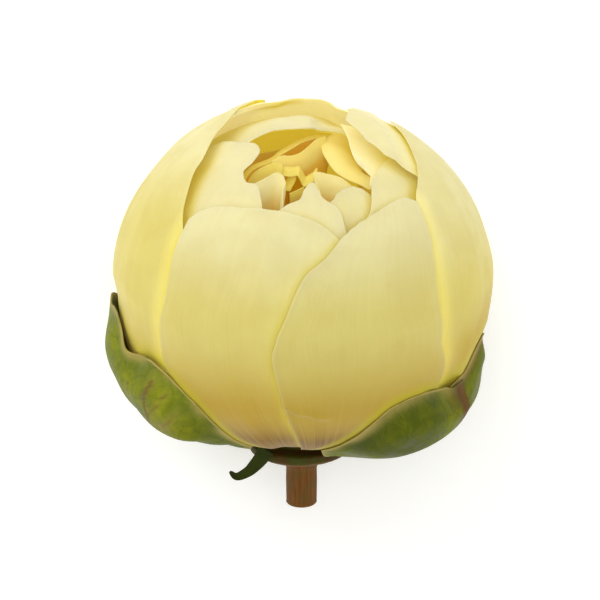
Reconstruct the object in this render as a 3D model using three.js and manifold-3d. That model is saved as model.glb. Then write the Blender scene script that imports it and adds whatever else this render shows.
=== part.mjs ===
// Cut peony bloom, lying on its back, in millimetres, +Z up.
// The bloom's axis points along +Y and rises 20 degrees; the stem stub points along -Y.
// Bloom coordinates: x to the right, f towards the front (up when lying), h along the axis.
import * as THREE from 'three';
import Module from 'manifold-3d';

const wasm = await Module();
wasm.setup();

const RAD = Math.PI / 180;
const PITCH = 20 * RAD;
const FLOOR = -39.9;        // resting plane below the middle of the bloom
const THICK = 0.65;         // petal thickness
const LAYER = 1.2;          // pitch from one petal layer to the next
const SEPAL = 0.9;          // sepal thickness
const SEPAL_LAYER = 1.6;

const lay = ([x, f, h]) => [
  x,
  h * Math.cos(PITCH) - f * Math.sin(PITCH),
  h * Math.sin(PITCH) + f * Math.cos(PITCH),
];

const clamp01 = (t) => Math.min(1, Math.max(0, t));
const smooth = (t) => { const k = clamp01(t); return k * k * (3 - 2 * k); };

// ---- the two shells everything grows on -------------------------------------------------
// phi: azimuth, 0 = front, + = right; s: rise above the widest ring. Degrees.
const BALL = { a: 38, up: 35.3, down: 32.5, n: 2.5 };
const CUP = { a: 40, up: 35.3, down: 34.5, n: 3.2 };

function onShell(shell, phi, s, depth) {
  const c = Math.abs(Math.cos(s * RAD)), q = Math.abs(Math.sin(s * RAD));
  const e = s >= 0 ? 1 : 2 / shell.n;
  const r = (shell.a - depth) * Math.pow(c, e);
  const h = s >= 0 ? (shell.up - depth) * q : -(shell.down - depth) * Math.pow(q, e);
  return [r * Math.sin(phi * RAD), r * Math.cos(phi * RAD), h];
}

// Flat map of a shell: distance from the pole is 90 - s.
const toMap = ([phi, s]) =>
  new THREE.Vector2((90 - s) * Math.sin(phi * RAD), (90 - s) * Math.cos(phi * RAD));
const fromMap = (p) => [Math.atan2(p.x, p.y) / RAD, 90 - Math.hypot(p.x, p.y)];
const shellPoint = (shell, [phi, s]) => new THREE.Vector3(...onShell(shell, phi, s, 0));

// ---- outlines ----------------------------------------------------------------------------
// Every blade has a root arc [phi0, phi1, s], a left and a right edge from root to rim, and
// a rim from left to right. `at` is its least depth, `rim` a tuck at the rim.
const ROOT = -81.3, CUP_ROOT = -85.1;
const blade = (name, layer, at, tuck, root, left, rim, right, nu, nv) =>
  ({ name, layer, at, tuck, root, left, rim, right, nu, nv });

const petals = [
  blade('petal_front_right', 0, 0, 0, [-2, 30],
    [[-1, -54], [-5, -30], [-9, -6], [-8, 0], [-5, 8], [0, 20], [7, 26]],
    [[13, 32], [21, 36.5], [29, 39], [36, 41], [43, 41.5], [48, 39]],
    [[44, -45], [50, -18], [46, -4], [44, 8], [45, 20], [47, 29]], 8, 13),
  blade('petal_back_right', 0, 0, 0.6, [128, 172],
    [[118, -45], [114, -5], [118, 20]],
    [[128, 33], [148, 40], [168, 38], [184, 30]],
    [[186, -45], [194, -5], [190, 18]], 9, 12),
  blade('petal_front_left', 1, 0, 0, [-22, 8],
    [[-40, -40], [-48, -12], [-45, 8], [-45, 24]],
    [[-44, 34], [-37, 39], [-24, 41], [-10, 41], [0, 39.5], [8, 36], [18, 24]],
    [[12, -40], [16, -10], [17, 8]], 8, 13),
  blade('petal_right', 1, 0, 0.3, [34, 85],
    [[38, -30], [38, 0], [41, 25], [50, 40], [55.5, 43.8], [61, 47]],
    [[68.5, 51.5], [78, 55.5], [92, 59], [106, 61], [119, 58]],
    [[112, -40], [125, 0], [128, 35]], 10, 15),
  blade('petal_back_left', 1, 0, 0.6, [-166, -118],
    [[-172, -45], [-178, -5], [-172, 22]],
    [[-160, 36], [-144, 43], [-128, 42], [-117, 32]],
    [[-113, -45], [-110, -10], [-112, 15]], 8, 12),
  blade('petal_left', 2, 0, 0.4, [-95, -26],
    [[-125, -40], [-140, 0], [-150, 35], [-154, 55]],
    [[-148, 68], [-139, 71.5], [-122, 71.4], [-106.6, 69], [-88.6, 65], [-77, 61.5]],
    [[-36, -35], [-38, 0], [-42.5, 24], [-50, 36], [-57, 47.5], [-60, 53.3]], 12, 16),
  blade('petal_inner_back', 2, -0.2, 0.9, [75, 130],
    [[80, -20], [80, 20], [64, 44]],
    [[52, 57.5], [52.5, 62], [51.5, 65], [55, 68.5], [60.5, 73.3], [68, 76], [93, 76.5], [137, 67], [152, 58]],
    [[150, -40], [165, 0], [168, 30], [160, 50]], 12, 15),
  blade('petal_inner_front', 2, 1.9, 0, [-8, 12],
    [[-13, -30], [-14, 5], [-13, 30]],
    [[-11, 41.4], [-5.6, 45], [-1.4, 46.6], [1, 50.5], [5, 53], [8.4, 47.2], [13.8, 43.7], [15.5, 40.4]],
    [[14, -30], [16, 5], [16, 30]], 7, 13),
  blade('petal_inner_left', 3, 2.85, 0, [-62, -30],
    [[-66, -30], [-74, 0], [-82, 30], [-86, 50]],
    [[-82, 62.8], [-72.4, 65.5], [-58, 67.4], [-49, 69], [-36, 66.2], [-34, 60.5], [-35.5, 56],
      [-30, 52.2], [-24, 51.8], [-19.6, 47], [-17, 41.7]],
    [[-22, -30], [-18, 0], [-16, 28]], 11, 14),
  blade('petal_inner_right', 3, 2.85, 0, [28, 62],
    [[24, -30], [22, 5], [23, 28]],
    [[25.6, 38.3], [29.4, 41.5], [35, 49.2], [39.6, 52.6], [48.3, 55.6], [59, 57.3], [68, 56.3], [74, 52]],
    [[68, -30], [76, 5], [78, 35]], 9, 13),
  blade('petal_back_tall', 4, -0.4, 0, [-195, -140],
    [[-208, -30], [-220, 10], [-230, 40], [-240, 58]],
    [[-246, 68], [-232, 72], [-205, 72.5], [-175, 72], [-150, 72.5], [-134, 73.5], [-120, 70]],
    [[-125, -20], [-110, 25], [-104, 48], [-108, 62]], 12, 15),
  blade('petal_crumpled', 4, 3.8, 0, [10, 32],
    [[5, -20], [4, 15], [5, 34]],
    [[7.7, 45], [12.5, 46.6], [17.7, 50.2], [22.8, 51.8], [29.5, 51.5], [34, 48]],
    [[34, -20], [37, 15], [37, 34]], 6, 10),
  blade('petal_pale', 5, 4.5, 0, [52, 90],
    [[44, 0], [40, 30], [38, 46]],
    [[39, 52.5], [43.5, 56], [42.5, 59.5], [42, 62.5], [49.5, 68.5], [68.5, 73.5], [108.5, 75.5], [140, 70]],
    [[100, 0], [112, 30], [132, 55]], 11, 12),
  blade('petal_top_fold', 6, 4, 0, [-222, -128],
    [[-240, 30], [-256, 50], [-265, 64], [-266, 74]],
    [[-268, 80], [-273, 84], [-345, 87.6], [-436, 83.8], [-444.5, 80], [-448.5, 76.3], [-439.2, 73.3], [-433.1, 69.9], [-427, 67.6]],
    [[-112, 30], [-92, 48], [-76, 58]], 12, 10),
];
// The roots of the short inner petals start higher up the inside of the bloom.
const rootRise = { petal_back_tall: -72, petal_crumpled: -45, petal_pale: -30, petal_top_fold: 8 };

const sepals = [
  blade('sepal_left', 0, 0, 1.3, [-100, -50],
    [[-130, -55], [-132, -32]],
    [[-124, -14], [-110, -5], [-95, -1.5], [-81, -0.3], [-74, -1], [-69, -4], [-64, -7.5], [-58, -8],
      [-53, -7.5], [-47, -8], [-41, -10.5], [-35, -16], [-30, -23], [-25.5, -30], [-22.5, -36], [-23, -42]],
    [[-40, -71], [-29, -56]], 15, 10),
  blade('sepal_front_right', 0, 0, 1.2, [26, 60],
    [[22, -70], [14, -55]],
    [[5, -42], [9, -35.5], [14.5, -30.5], [20, -25], [26, -18.5], [31.5, -14], [38, -12.5], [45, -13.5],
      [51, -13], [55, -10.5]],
    [[62, -50], [60, -28]], 10, 9),
  blade('sepal_back_left', 1, 0, 0, [-196, -126],
    [[-206, -50], [-208, -28]],
    [[-200, -12], [-188, -6], [-170, -3], [-150, -5], [-134, -9], [-122, -16]],
    [[-112, -52], [-114, -32]], 11, 9),
  blade('sepal_right', 2, 0, 0, [52, 100],
    [[47, -48], [48, -28]],
    [[52, -15], [56, -12.5], [61, -11], [67, -10], [73, -10.5], [81, -12], [94, -15], [111, -19]],
    [[112, -50], [116, -32]], 9, 9),
  blade('sepal_back_right', 2, 0, 0, [116, 150],
    [[118, -50], [119, -28]],
    [[122, -12], [132, -5], [146, -6], [158, -12]],
    [[164, -50], [164, -28]], 7, 9),
];

// ---- edges as curves, blades as patches between four edges ---------------------------------
function edges(b, rootS) {
  const [p0, p1] = b.root;
  const start = toMap([p0, rootS]), end = toMap([p1, rootS]);
  const rim = new THREE.SplineCurve(b.rim.map(toMap));
  const left = new THREE.SplineCurve([start, ...b.left.map(toMap), toMap(b.rim[0])]);
  const right = new THREE.SplineCurve([end, ...b.right.map(toMap), toMap(b.rim.at(-1))]);
  const bottom = (u) => toMap([p0 + (p1 - p0) * u, rootS]);
  return { rim, left, right, bottom };
}

function patch(b, rootS, shell) {
  const { rim, left, right, bottom } = edges(b, rootS);
  const L = left.getSpacedPoints(b.nv), R = right.getSpacedPoints(b.nv), T = rim.getSpacedPoints(b.nu);
  const grid = [];
  for (let j = 0; j <= b.nv; j++) {
    const v = j / b.nv;
    for (let i = 0; i <= b.nu; i++) {
      const u = i / b.nu, B = bottom(u), p = new THREE.Vector2();
      p.addScaledVector(B, 1 - v).addScaledVector(T[i], v)
        .addScaledVector(L[j], 1 - u).addScaledVector(R[j], u)
        .addScaledVector(L[0], -(1 - u) * (1 - v)).addScaledVector(R[0], -u * (1 - v))
        .addScaledVector(T[0], -(1 - u) * v).addScaledVector(T[b.nu], -u * v);
      grid.push(fromMap(p));
    }
  }
  const n = 10;
  const loop = [
    ...Array.from({ length: n }, (_, i) => bottom(i / n)),
    ...right.getSpacedPoints(16).slice(0, -1),
    ...rim.getSpacedPoints(20).reverse().slice(0, -1),
    ...left.getSpacedPoints(16).reverse().slice(0, -1),
  ];
  const raise = (p) => shellPoint(shell, fromMap(p));
  return { shell, grid, loop, ball: loop.map(raise), top: rim.getSpacedPoints(24).map(raise) };
}

function segmentDistance(p, a, b) {
  const ab = b.clone().sub(a), t = clamp01(p.clone().sub(a).dot(ab) / Math.max(1e-9, ab.lengthSq()));
  return p.distanceTo(a.clone().addScaledVector(ab, t));
}

// Distance outside an outline, 0 inside it, in degrees about the axis below the widest ring.
function outside(shape, phiS) {
  const p = toMap(phiS);
  let inside = false;
  const { loop, ball } = shape;
  for (let i = 0, j = loop.length - 1; i < loop.length; j = i++) {
    const a = loop[i], b = loop[j];
    if ((a.y > p.y) !== (b.y > p.y) && p.x < ((b.x - a.x) * (p.y - a.y)) / (b.y - a.y) + a.x) inside = !inside;
  }
  if (inside) return 0;
  const q = shellPoint(shape.shell, phiS);
  let best = 99;
  for (let i = 0, j = ball.length - 1; i < ball.length; j = i++) best = Math.min(best, segmentDistance(q, ball[i], ball[j]));
  return best / (phiS[1] < 0 ? Math.hypot(q.x, q.y) : 38) / RAD;
}

function rimDistance(shape, phiS) {
  const q = shellPoint(shape.shell, phiS);
  let best = 99;
  for (let i = 1; i < shape.top.length; i++) best = Math.min(best, segmentDistance(q, shape.top[i - 1], shape.top[i]));
  return best / 38 / RAD;
}

// Extra room under their cover for the broad blades that bend the most.
const room = { petal_right: 0.35, sepal_back_left: 0.2, petal_left: 0.15, petal_back_tall: 0.45, petal_top_fold: 0.3, petal_inner_back: 0.3, petal_crumpled: 0.1, sepal_back_right: 0.15 };

// How much of its tuck a blade keeps, where no other blade slips under its rim.
const hug = (name, phi) =>
  name === 'sepal_left' ? smooth((phi + 98) / 40) : name === 'sepal_front_right' ? smooth((50 - phi) / 12) * (0.3 + 0.7 * smooth((phi - 8) / 14)) : 1;

// Each blade lies one pitch below every blade of an earlier layer that covers it, and eases
// back out beyond that blade's edge.
function depths(family, shapes, base, pitch, phiS) {
  const found = [];
  family.forEach((b, i) => {
    let d = b.at + base(b, phiS);
    if (b.tuck) d += b.tuck * hug(b.name, phiS[0]) * smooth(1 - rimDistance(shapes[i], phiS) / (b.name.startsWith('sepal') ? 11 : 22));
    const [flat, ease] = b.name === 'petal_back_tall' || b.name === 'petal_inner_back' ? [5, 7] : [11, 14];
    for (let k = 0; k < i; k++) {
      if (family[k].layer >= b.layer) continue;
      const far = outside(shapes[k], phiS);
      if (far < 25) d = Math.max(d, (found[k] + pitch + (room[b.name] ?? 0)) * smooth(1 - (far - flat) / ease));
    }
    found.push(d);
  });
  return found;
}

const petalShapes = petals.map((b) => patch(b, rootRise[b.name] ?? ROOT, BALL));
const sepalShapes = sepals.map((b) => patch(b, CUP_ROOT, CUP));
// Depth at a rise s, eased between hand-set stations.
const along = (s, stations) => {
  let i = 1;
  while (i < stations.length - 1 && s > stations[i][0]) i++;
  const [s0, d0] = stations[i - 1], [s1, d1] = stations[i];
  return d0 + (d1 - d0) * smooth((s - s0) / (s1 - s0));
};
const rightward = (phi) => smooth((phi - 62) / 22) * smooth((150 - phi) / 25);
// The crown swells at the back, the right side is drawn in low down, and the front foot is full.
const petalBase = (b, [phi, s]) => {
  const start = phi < 0 ? 40 - 15 * smooth((phi + 178) / 30) : 40;
  const side = phi < 0 ? smooth((-95 - phi) / 30) * (1 + 0.7 * smooth((phi + 166) / 25)) : smooth((phi - 145) / 20);
  const crown = side * smooth((s - start) / 22);
  const low = 1.8 * rightward(phi) * along(s, [[-70, 0], [-40, 0.3], [-18, 1], [-9, 0.1]]);
  const foot = 0.5 * smooth((-38 - s) / 15) * smooth((50 - Math.abs(phi)) / 20);
  const under = smooth((-55 - phi) / 15) * smooth((phi + 125) / 20);
  return 0.9 * smooth((2 + 3 * under - s) / (10 - 4 * under)) + low - foot - 0.9 * crown;
};
const sepalBase = (b, [phi, s]) => {
  if (b.name === 'sepal_left') {
    return along(s, [[-85, 1.5], [-65, 0.6], [-50, -0.2], [-35, -0.9], [-20, -0.3], [-5, 0.3]])
      + 0.6 * smooth((-62 - phi) / 12) * smooth((s + 14) / 10)
      + 2.8 * smooth((phi + 85) / 55) * along(s, [[-80, 0], [-62, 1], [-50, 1], [-28, 0]]) - 0.6 * smooth((-102 - phi) / 12);
  }
  if (b.name === 'sepal_right') return along(s, [[-85, 1.2], [-60, 0.2], [-35, 0.4], [-20, 2], [-10, 2.2]]);
  if (b.name === 'sepal_front_right') {
    return along(s, [[-80, 1], [-62, 2.6], [-45, 2.2], [-28, 0.7]]) * (1 - smooth((phi - 18) / 28))
      - 0.3 * smooth((phi - 40) / 14) * along(s, [[-80, 0], [-62, 1], [-42, 1], [-22, 0]]);
  }
  return b.name === 'sepal_back_right' ? 0.6 : 0;
};

// ---- meshes ---------------------------------------------------------------------------------
function closedSlab(nu, nv, outer, inner) {
  const w = nu + 1, count = w * (nv + 1), index = [];
  const at = (i, j) => j * w + i;
  for (let j = 0; j < nv; j++) for (let i = 0; i < nu; i++) {
    const a = at(i, j), b = at(i + 1, j), c = at(i + 1, j + 1), d = at(i, j + 1);
    index.push(a, b, c, a, c, d);
    index.push(count + a, count + c, count + b, count + a, count + d, count + c);
  }
  const wall = (p, q) => index.push(p, count + p, count + q, p, count + q, q);
  for (let i = 0; i < nu; i++) { wall(at(i, 0), at(i + 1, 0)); wall(at(i + 1, nv), at(i, nv)); }
  for (let j = 0; j < nv; j++) { wall(at(0, j + 1), at(0, j)); wall(at(nu, j), at(nu, j + 1)); }
  const pos = new Float32Array([...outer.flat(), ...inner.flat()]);
  const g = new THREE.BufferGeometry();
  g.setAttribute('position', new THREE.BufferAttribute(pos, 3));
  let six = 0;
  const P = (k) => new THREE.Vector3().fromArray(pos, 3 * k);
  for (let t = 0; t < index.length; t += 3) six += P(index[t]).dot(P(index[t + 1]).cross(P(index[t + 2])));
  if (six < 0) for (let t = 0; t < index.length; t += 3) [index[t + 1], index[t + 2]] = [index[t + 2], index[t + 1]];
  g.setIndex(index);
  return g;
}

const pressed = (p, level) => { const q = lay(p); q[2] = Math.max(q[2], FLOOR + level); return q; };

function petalGeometry(i) {
  const b = petals[i], outer = [], inner = [];
  for (const phiS of petalShapes[i].grid) {
    const d = depths(petals, petalShapes, petalBase, LAYER, phiS)[i];
    outer.push(pressed(onShell(BALL, phiS[0], phiS[1], d), 1.6 + d));
    inner.push(pressed(onShell(BALL, phiS[0], phiS[1], d + THICK), 1.6 + d + THICK));
  }
  return closedSlab(b.nu, b.nv, outer, inner);
}

function sepalGeometry(i) {
  const b = sepals[i], outer = [], inner = [];
  for (const phiS of sepalShapes[i].grid) {
    const d = depths(sepals, sepalShapes, sepalBase, SEPAL_LAYER, phiS)[i];
    outer.push(pressed(onShell(CUP, phiS[0], phiS[1], d), Math.max(0, d - 0.3)));
    inner.push(pressed(onShell(CUP, phiS[0], phiS[1], d + SEPAL), Math.max(0, d - 0.3) + SEPAL));
  }
  return closedSlab(b.nu, b.nv, outer, inner);
}

// ---- the heart: a core with ruffled inner petals ------------------------------------------
// rim points are bloom coordinates [x, f, h]; `mid` moves the rim to the blade's middle;
// `root` is an arc [phi0, phi1, radius, height] inside the core.
const ruffles = [
  { rim: [[-11.6, 1.5, 20], [-11.3, 1, 20.9], [-9.5, 0.5, 22.5], [-5.7, -0.5, 24], [-3.8, -1.5, 25.2], [-0.8, -3, 26.6], [2.4, -4, 27.4], [4.4, -5, 27.3]],
    mid: [-2, -9, 1], root: [-125, -190, 12, -2], nu: 9, nv: 5 },
  { rim: [[-6.1, 3, 24.8], [-4.1, 2.2, 25.8], [-2.4, 1.5, 25.6], [-0.7, 0.8, 25.9], [0.9, 0, 26.6], [2.8, -1.4, 27.5], [4.2, -2.7, 27.6]],
    mid: [0.5, -0.5, -8], root: [-100, 60, 4, 3], nu: 8, nv: 4 },
  { rim: [[-4, 6, 22.9], [-2.4, 6.5, 22.9], [-1.1, 7, 23.3], [-0.5, 7, 22.5], [0.2, 7, 21.1], [1, 7, 21.5], [2, 7, 22.2], [2.5, 7, 23.1]],
    mid: [0.5, -7, 3], root: [-40, 45, 3, 3], nu: 7, nv: 5 },
  { rim: [[-11, 6, 21.4], [-9.8, 6, 23.4], [-8, 6, 24.7], [-6, 6, 25.5], [-4.4, 6, 25.4], [-3.9, 6, 24.9]],
    mid: [-1, 1, -8], root: [-80, -20, 11, -2], nu: 6, nv: 4 },
  { rim: [[-9.4, 15, 24.2], [-7.9, 14, 24.7], [-6.8, 13, 25], [-5.2, 12, 25.5], [-4.2, 12, 25.1], [-3.7, 12.5, 24.5], [-3.5, 13, 23.7],
    [-3.8, 15, 22.8], [-3.9, 17, 20.3]],
    mid: [-1, 2.5, -9], root: [-50, -12, 15, -4], nu: 8, nv: 5 },
  { rim: [[-1.3, 6, 22.8], [-1.5, 6.3, 21.9], [-2, 6.6, 21], [-2.5, 7, 20]],
    mid: [-4, -2, 0.5], root: [-70, -30, 7, 8], nu: 3, nv: 4 },
  { rim: [[3.7, 14, 20.9], [3, 12.5, 22.6], [2.3, 11, 24.1], [2.1, 10, 24.8], [3.1, 9.5, 24.8], [4.5, 9, 24.3], [5.9, 9, 24],
    [7.6, 9.5, 23.5], [9.3, 10, 22.3], [10.5, 11, 21.5]],
    mid: [1.5, 3, -8], root: [5, 45, 14, -3], nu: 9, nv: 5 },
  { rim: [[5, -4.5, 27], [4.2, -3.5, 26.7], [3.7, -2, 26.2], [3.9, 0, 25.6], [4.6, 1.5, 24.8], [5.4, 3, 23.9], [6.4, 5, 23.3],
    [7.6, 6, 22.8], [9, 7, 22.4], [11, 8, 21.7], [12.9, 9, 20.9]],
    mid: [6, -2.5, 1.5], root: [130, 62, 16, 3], nu: 10, nv: 5 },
  { rim: [[-2.7, 9, 20.3], [-1.3, 8.5, 20.7], [0.2, 8, 21.3]],
    mid: [0.3, -1.5, -4], root: [-20, 20, 8, 5], nu: 3, nv: 4 },
  { rim: [[-14.2, -4, 18.5], [-12.6, -8, 20.5], [-9, -11, 22], [-4, -12.5, 22.6], [1, -12.5, 22.6], [6, -11, 22]],
    mid: [-2, -6, -5], root: [-110, -190, 15, -4], nu: 8, nv: 4 },
  { rim: [[9, -11, 23.5], [13.5, -8, 21.5], [16.5, -3, 19.5], [17.5, 3, 17.5]],
    mid: [4, -2, -7], root: [140, 70, 16, -5], nu: 6, nv: 4 },
  { rim: [[-17.5, 2, 15], [-15.5, 8, 17.5], [-11.5, 13, 19]],
    mid: [-3, 1.5, -8], root: [-88, -40, 16, -5], nu: 5, nv: 4 },
];

function ruffleGeometry({ rim, mid, root, nu, nv }) {
  const thick = 0.8;
  const curve = new THREE.CatmullRomCurve3(rim.map((p) => new THREE.Vector3(...p)), false, 'catmullrom', 0.5);
  const T = curve.getSpacedPoints(nu);
  const row = (j) => {
    const v = j / nv;
    return T.map((top, i) => {
      const phi = (root[0] + (root[1] - root[0]) * (i / nu)) * RAD;
      const foot = new THREE.Vector3(root[2] * Math.sin(phi), root[2] * Math.cos(phi), root[3]);
      const ctrl = top.clone().add(new THREE.Vector3(...mid));
      return new THREE.QuadraticBezierCurve3(foot, ctrl, top).getPoint(v);
    });
  };
  const rows = Array.from({ length: nv + 1 }, (_, j) => row(j));
  const mesh = [], back = [];
  for (let j = 0; j <= nv; j++) for (let i = 0; i <= nu; i++) {
    const du = rows[j][Math.min(nu, i + 1)].clone().sub(rows[j][Math.max(0, i - 1)]);
    const dv = rows[Math.min(nv, j + 1)][i].clone().sub(rows[Math.max(0, j - 1)][i]);
    const normal = du.cross(dv).normalize().multiplyScalar(thick / 2);
    mesh.push(lay(rows[j][i].clone().add(normal).toArray()));
    back.push(lay(rows[j][i].clone().sub(normal).toArray()));
  }
  return closedSlab(nu, nv, mesh, back);
}

function toManifold(g) {
  return new wasm.Manifold(new wasm.Mesh({
    numProp: 3,
    vertProperties: new Float32Array(g.getAttribute('position').array),
    triVerts: new Uint32Array(g.getIndex().array),
  }));
}

function fromManifold(m) {
  const out = m.getMesh(), g = new THREE.BufferGeometry();
  g.setAttribute('position', new THREE.BufferAttribute(new Float32Array(out.vertProperties), 3));
  g.setIndex(Array.from(out.triVerts));
  return g;
}

// Turned shape about the bloom's axis, from [radius, height, shift to the right] rows, in the lying frame.
function turned(profile, sides) {
  const pos = [], index = [], n = profile.length;
  const poles = [profile[0], profile.at(-1)].map(([, h, x = 0]) => lay([x, 0, h]));
  for (const [r, h, x = 0] of profile) for (let k = 0; k < sides; k++) {
    const t = (k / sides) * 2 * Math.PI;
    pos.push(lay([x + r * Math.sin(t), r * Math.cos(t), h]));
  }
  for (let j = 0; j < n - 1; j++) for (let k = 0; k < sides; k++) {
    const a = j * sides + k, b = j * sides + ((k + 1) % sides);
    index.push(a, b, b + sides, a, b + sides, a + sides);
  }
  const lo = pos.length, hi = lo + 1;
  for (let k = 0; k < sides; k++) {
    index.push(lo, (k + 1) % sides, k, hi, (n - 1) * sides + k, (n - 1) * sides + ((k + 1) % sides));
  }
  pos.push(...poles);
  const g = new THREE.BufferGeometry();
  g.setAttribute('position', new THREE.BufferAttribute(new Float32Array(pos.flat()), 3));
  let six = 0;
  for (let t = 0; t < index.length; t += 3) {
    const [A, B, C] = [0, 1, 2].map((k) => new THREE.Vector3(...pos[index[t + k]]));
    six += A.dot(B.cross(C));
  }
  if (six < 0) for (let t = 0; t < index.length; t += 3) [index[t + 1], index[t + 2]] = [index[t + 2], index[t + 1]];
  g.setIndex(index);
  return g;
}

function heartGeometry() {
  const core = turned([[6, -22.5], [13, -20.5], [18, -14], [20, -6], [19.5, 0], [16, 5], [9, 8]], 22);
  let body = toManifold(core);
  for (const r of ruffles) body = body.add(toManifold(ruffleGeometry(r)));
  return fromManifold(body);
}

// ---- stem and bract ---------------------------------------------------------------------
const stemProfile = [
  [2.9, -49.3, -0.3], [3.2, -49, -0.3], [3.25, -44, -0.3], [3.2, -41.4, -0.3], [3.7, -39.8, -0.3], [5.9, -38.4, -0.4],
  [9, -37.6, -0.6], [10.4, -36.7, -0.7], [10.4, -35.2, -0.7], [9.3, -34.9, -0.5], [7.15, -34.7], [7.15, -25.5],
  [6, -23.6], [3.5, -23],
];

function bractGeometry() {
  // Curved leaf hooked below the calyx: spine, half-width and thickness along it.
  const spine = new THREE.CatmullRomCurve3([
    [-7.3, -34.8, -2.8], [-8.2, -36.3, -3.3], [-9.6, -38, -4.2], [-11.1, -39.4, -4.7], [-13.3, -40.4, -5.3], [-14.7, -39.5, -5.8],
  ].map((p) => new THREE.Vector3(...p)));
  const nu = 4, nv = 9, outer = [], inner = [];
  for (let j = 0; j <= nv; j++) {
    const t = j / nv, c = spine.getPoint(t), dir = spine.getTangent(t);
    const side = new THREE.Vector3(0, 0, 1).cross(dir).normalize(), up = dir.clone().cross(side).normalize();
    const half = 1.5 * Math.pow(1 - t, 0.6) + 0.25;
    for (let i = 0; i <= nu; i++) {
      const w = (i / nu) * 2 - 1;
      const p = c.clone().addScaledVector(side, w * half).addScaledVector(up, 0.35 * w * w);
      outer.push(p.clone().addScaledVector(up, 0.4).toArray());
      inner.push(p.clone().addScaledVector(up, -0.4).toArray());
    }
  }
  return closedSlab(nu, nv, outer, inner);
}

// ---- assembly -----------------------------------------------------------------------------
const colours = {
  petal: ['#ebe0a2', 0.62], inner: ['#dcc46e', 0.6], heart: ['#c99a28', 0.6],
  sepal: ['#6f7430', 0.7], stem: ['#6b4a22', 0.75], bract: ['#3c4310', 0.7],
};
const group = new THREE.Group();
group.name = 'peony_bloom';
function add(name, geometry, kind) {
  const [color, roughness] = colours[kind];
  const mesh = new THREE.Mesh(geometry, new THREE.MeshStandardMaterial({ color, roughness, metalness: 0 }));
  mesh.name = name;
  group.add(mesh);
}
add('stem', turned(stemProfile, 24), 'stem');
add('bract', bractGeometry(), 'bract');
sepals.forEach((b, i) => add(b.name, sepalGeometry(i), 'sepal'));
petals.forEach((b, i) => add(b.name, petalGeometry(i), b.layer < 3 ? 'petal' : 'inner'));
add('heart', heartGeometry(), 'heart');

// Origin at the middle of the footprint box, resting plane at z = 0.
const box = new THREE.Box3();
for (const m of group.children) { m.geometry.computeBoundingBox(); box.union(m.geometry.boundingBox); }
for (const m of group.children) {
  m.geometry.translate(-(box.min.x + box.max.x) / 2, -(box.min.y + box.max.y) / 2, -box.min.z);
  m.geometry.computeVertexNormals();
}

export default group;
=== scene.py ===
"""Cut peony bloom: fine petals, heart, sepals, bract and stem stub, with a pale studio stage."""

import math

import bpy
import numpy as np
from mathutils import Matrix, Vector


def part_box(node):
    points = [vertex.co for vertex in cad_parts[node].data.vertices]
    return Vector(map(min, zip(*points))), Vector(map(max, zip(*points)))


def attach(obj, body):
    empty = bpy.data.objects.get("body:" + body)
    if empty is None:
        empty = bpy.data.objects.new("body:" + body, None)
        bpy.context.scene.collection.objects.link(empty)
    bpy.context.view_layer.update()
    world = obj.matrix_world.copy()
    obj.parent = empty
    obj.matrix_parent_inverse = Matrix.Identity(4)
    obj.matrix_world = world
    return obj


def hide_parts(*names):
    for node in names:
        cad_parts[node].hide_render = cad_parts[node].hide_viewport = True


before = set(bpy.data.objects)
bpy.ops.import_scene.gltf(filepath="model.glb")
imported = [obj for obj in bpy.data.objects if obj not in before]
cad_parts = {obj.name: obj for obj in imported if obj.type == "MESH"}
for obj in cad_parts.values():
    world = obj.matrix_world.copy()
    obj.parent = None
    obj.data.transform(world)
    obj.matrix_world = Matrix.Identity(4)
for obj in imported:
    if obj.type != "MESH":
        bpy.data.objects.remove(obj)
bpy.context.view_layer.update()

bl_info = {
    "name": "Cut peony bloom",
    "version": (1, 0, 0),
    "blender": (4, 5, 0),
    "location": "View3D > Sidebar > Peony",
    "description": "Builds a half-open double peony bloom lying on its back",
    "category": "Object",
}

MM = 0.001
SEED = 11

# ---- shells, in mm: widest radius, reach above and below the widest ring, fullness below ----
BALL = (38.0, 35.3, 32.5, 2.5)
CUP = (40.0, 35.3, 34.5, 3.2)
WIDEST = BALL[0]
PITCH = math.radians(20)                # rise of the bloom's axis
PETAL_PITCH, SEPAL_PITCH = 0.62, 1.2    # from one layer of blades to the next
PETAL_ROOT, SEPAL_ROOT = -81.3, -85.1   # rise of the blades' feet, in degrees
PETAL_BED = 1.6                         # a pressed petal's least height over the floor
SEPAL_SWELL = 0.1
LAND_GAP, LAND_WIDTH = 0.12, 4.5        # of a sepal's rim that lies down on the petals
COVER_REACH = 25                        # degrees outside a cover where it no longer presses
HEART_RIM = 0.09                        # half the thickness of a heart petal's rim
HEART_GRID, CORE_SIDES = (48, 28), 64
STEM_SIDES, FINE_STEM_SIDES, STEM_STEP = 24, 96, 0.4
STEM_CUT, RECEPTACLE = -49.2, 26        # height of the cut and length above it
VIEW_SLOPE = 0.1                        # half the frame's width over the camera's distance
CAMERA_FROM_MIDDLE = (-0.6, -4.8, 600)
FLOOR_SIZE, FLOOR_DROP = 3.0, 0.00005   # in metres


def smooth(t):
    """Eased step from 0 to 1 as t goes from 0 to 1."""
    k = np.clip(t, 0.0, 1.0)
    return k * k * (3 - 2 * k)


def rising(x, start, width):
    return smooth((x - start) / width)


def falling(x, end, width):
    return smooth((end - x) / width)


def near(far, reach, start=1.0):
    """Fades out over a distance; a start above 1 keeps it full for a while."""
    return smooth(start - far / reach)


def hump(x, middle, width):
    return np.exp(-(((x - middle) / width) ** 2))


def spot(phi, s, middle, width):
    """A soft round spot on a shell."""
    return np.exp(-(((phi - middle[0]) / width[0]) ** 2) - ((s - middle[1]) / width[1]) ** 2)


def both_faces(**masks):
    """Masks of a blade's grid, repeated for its outer and its inner face."""
    return {key: np.tile(value, 2) for key, value in masks.items()}


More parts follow.
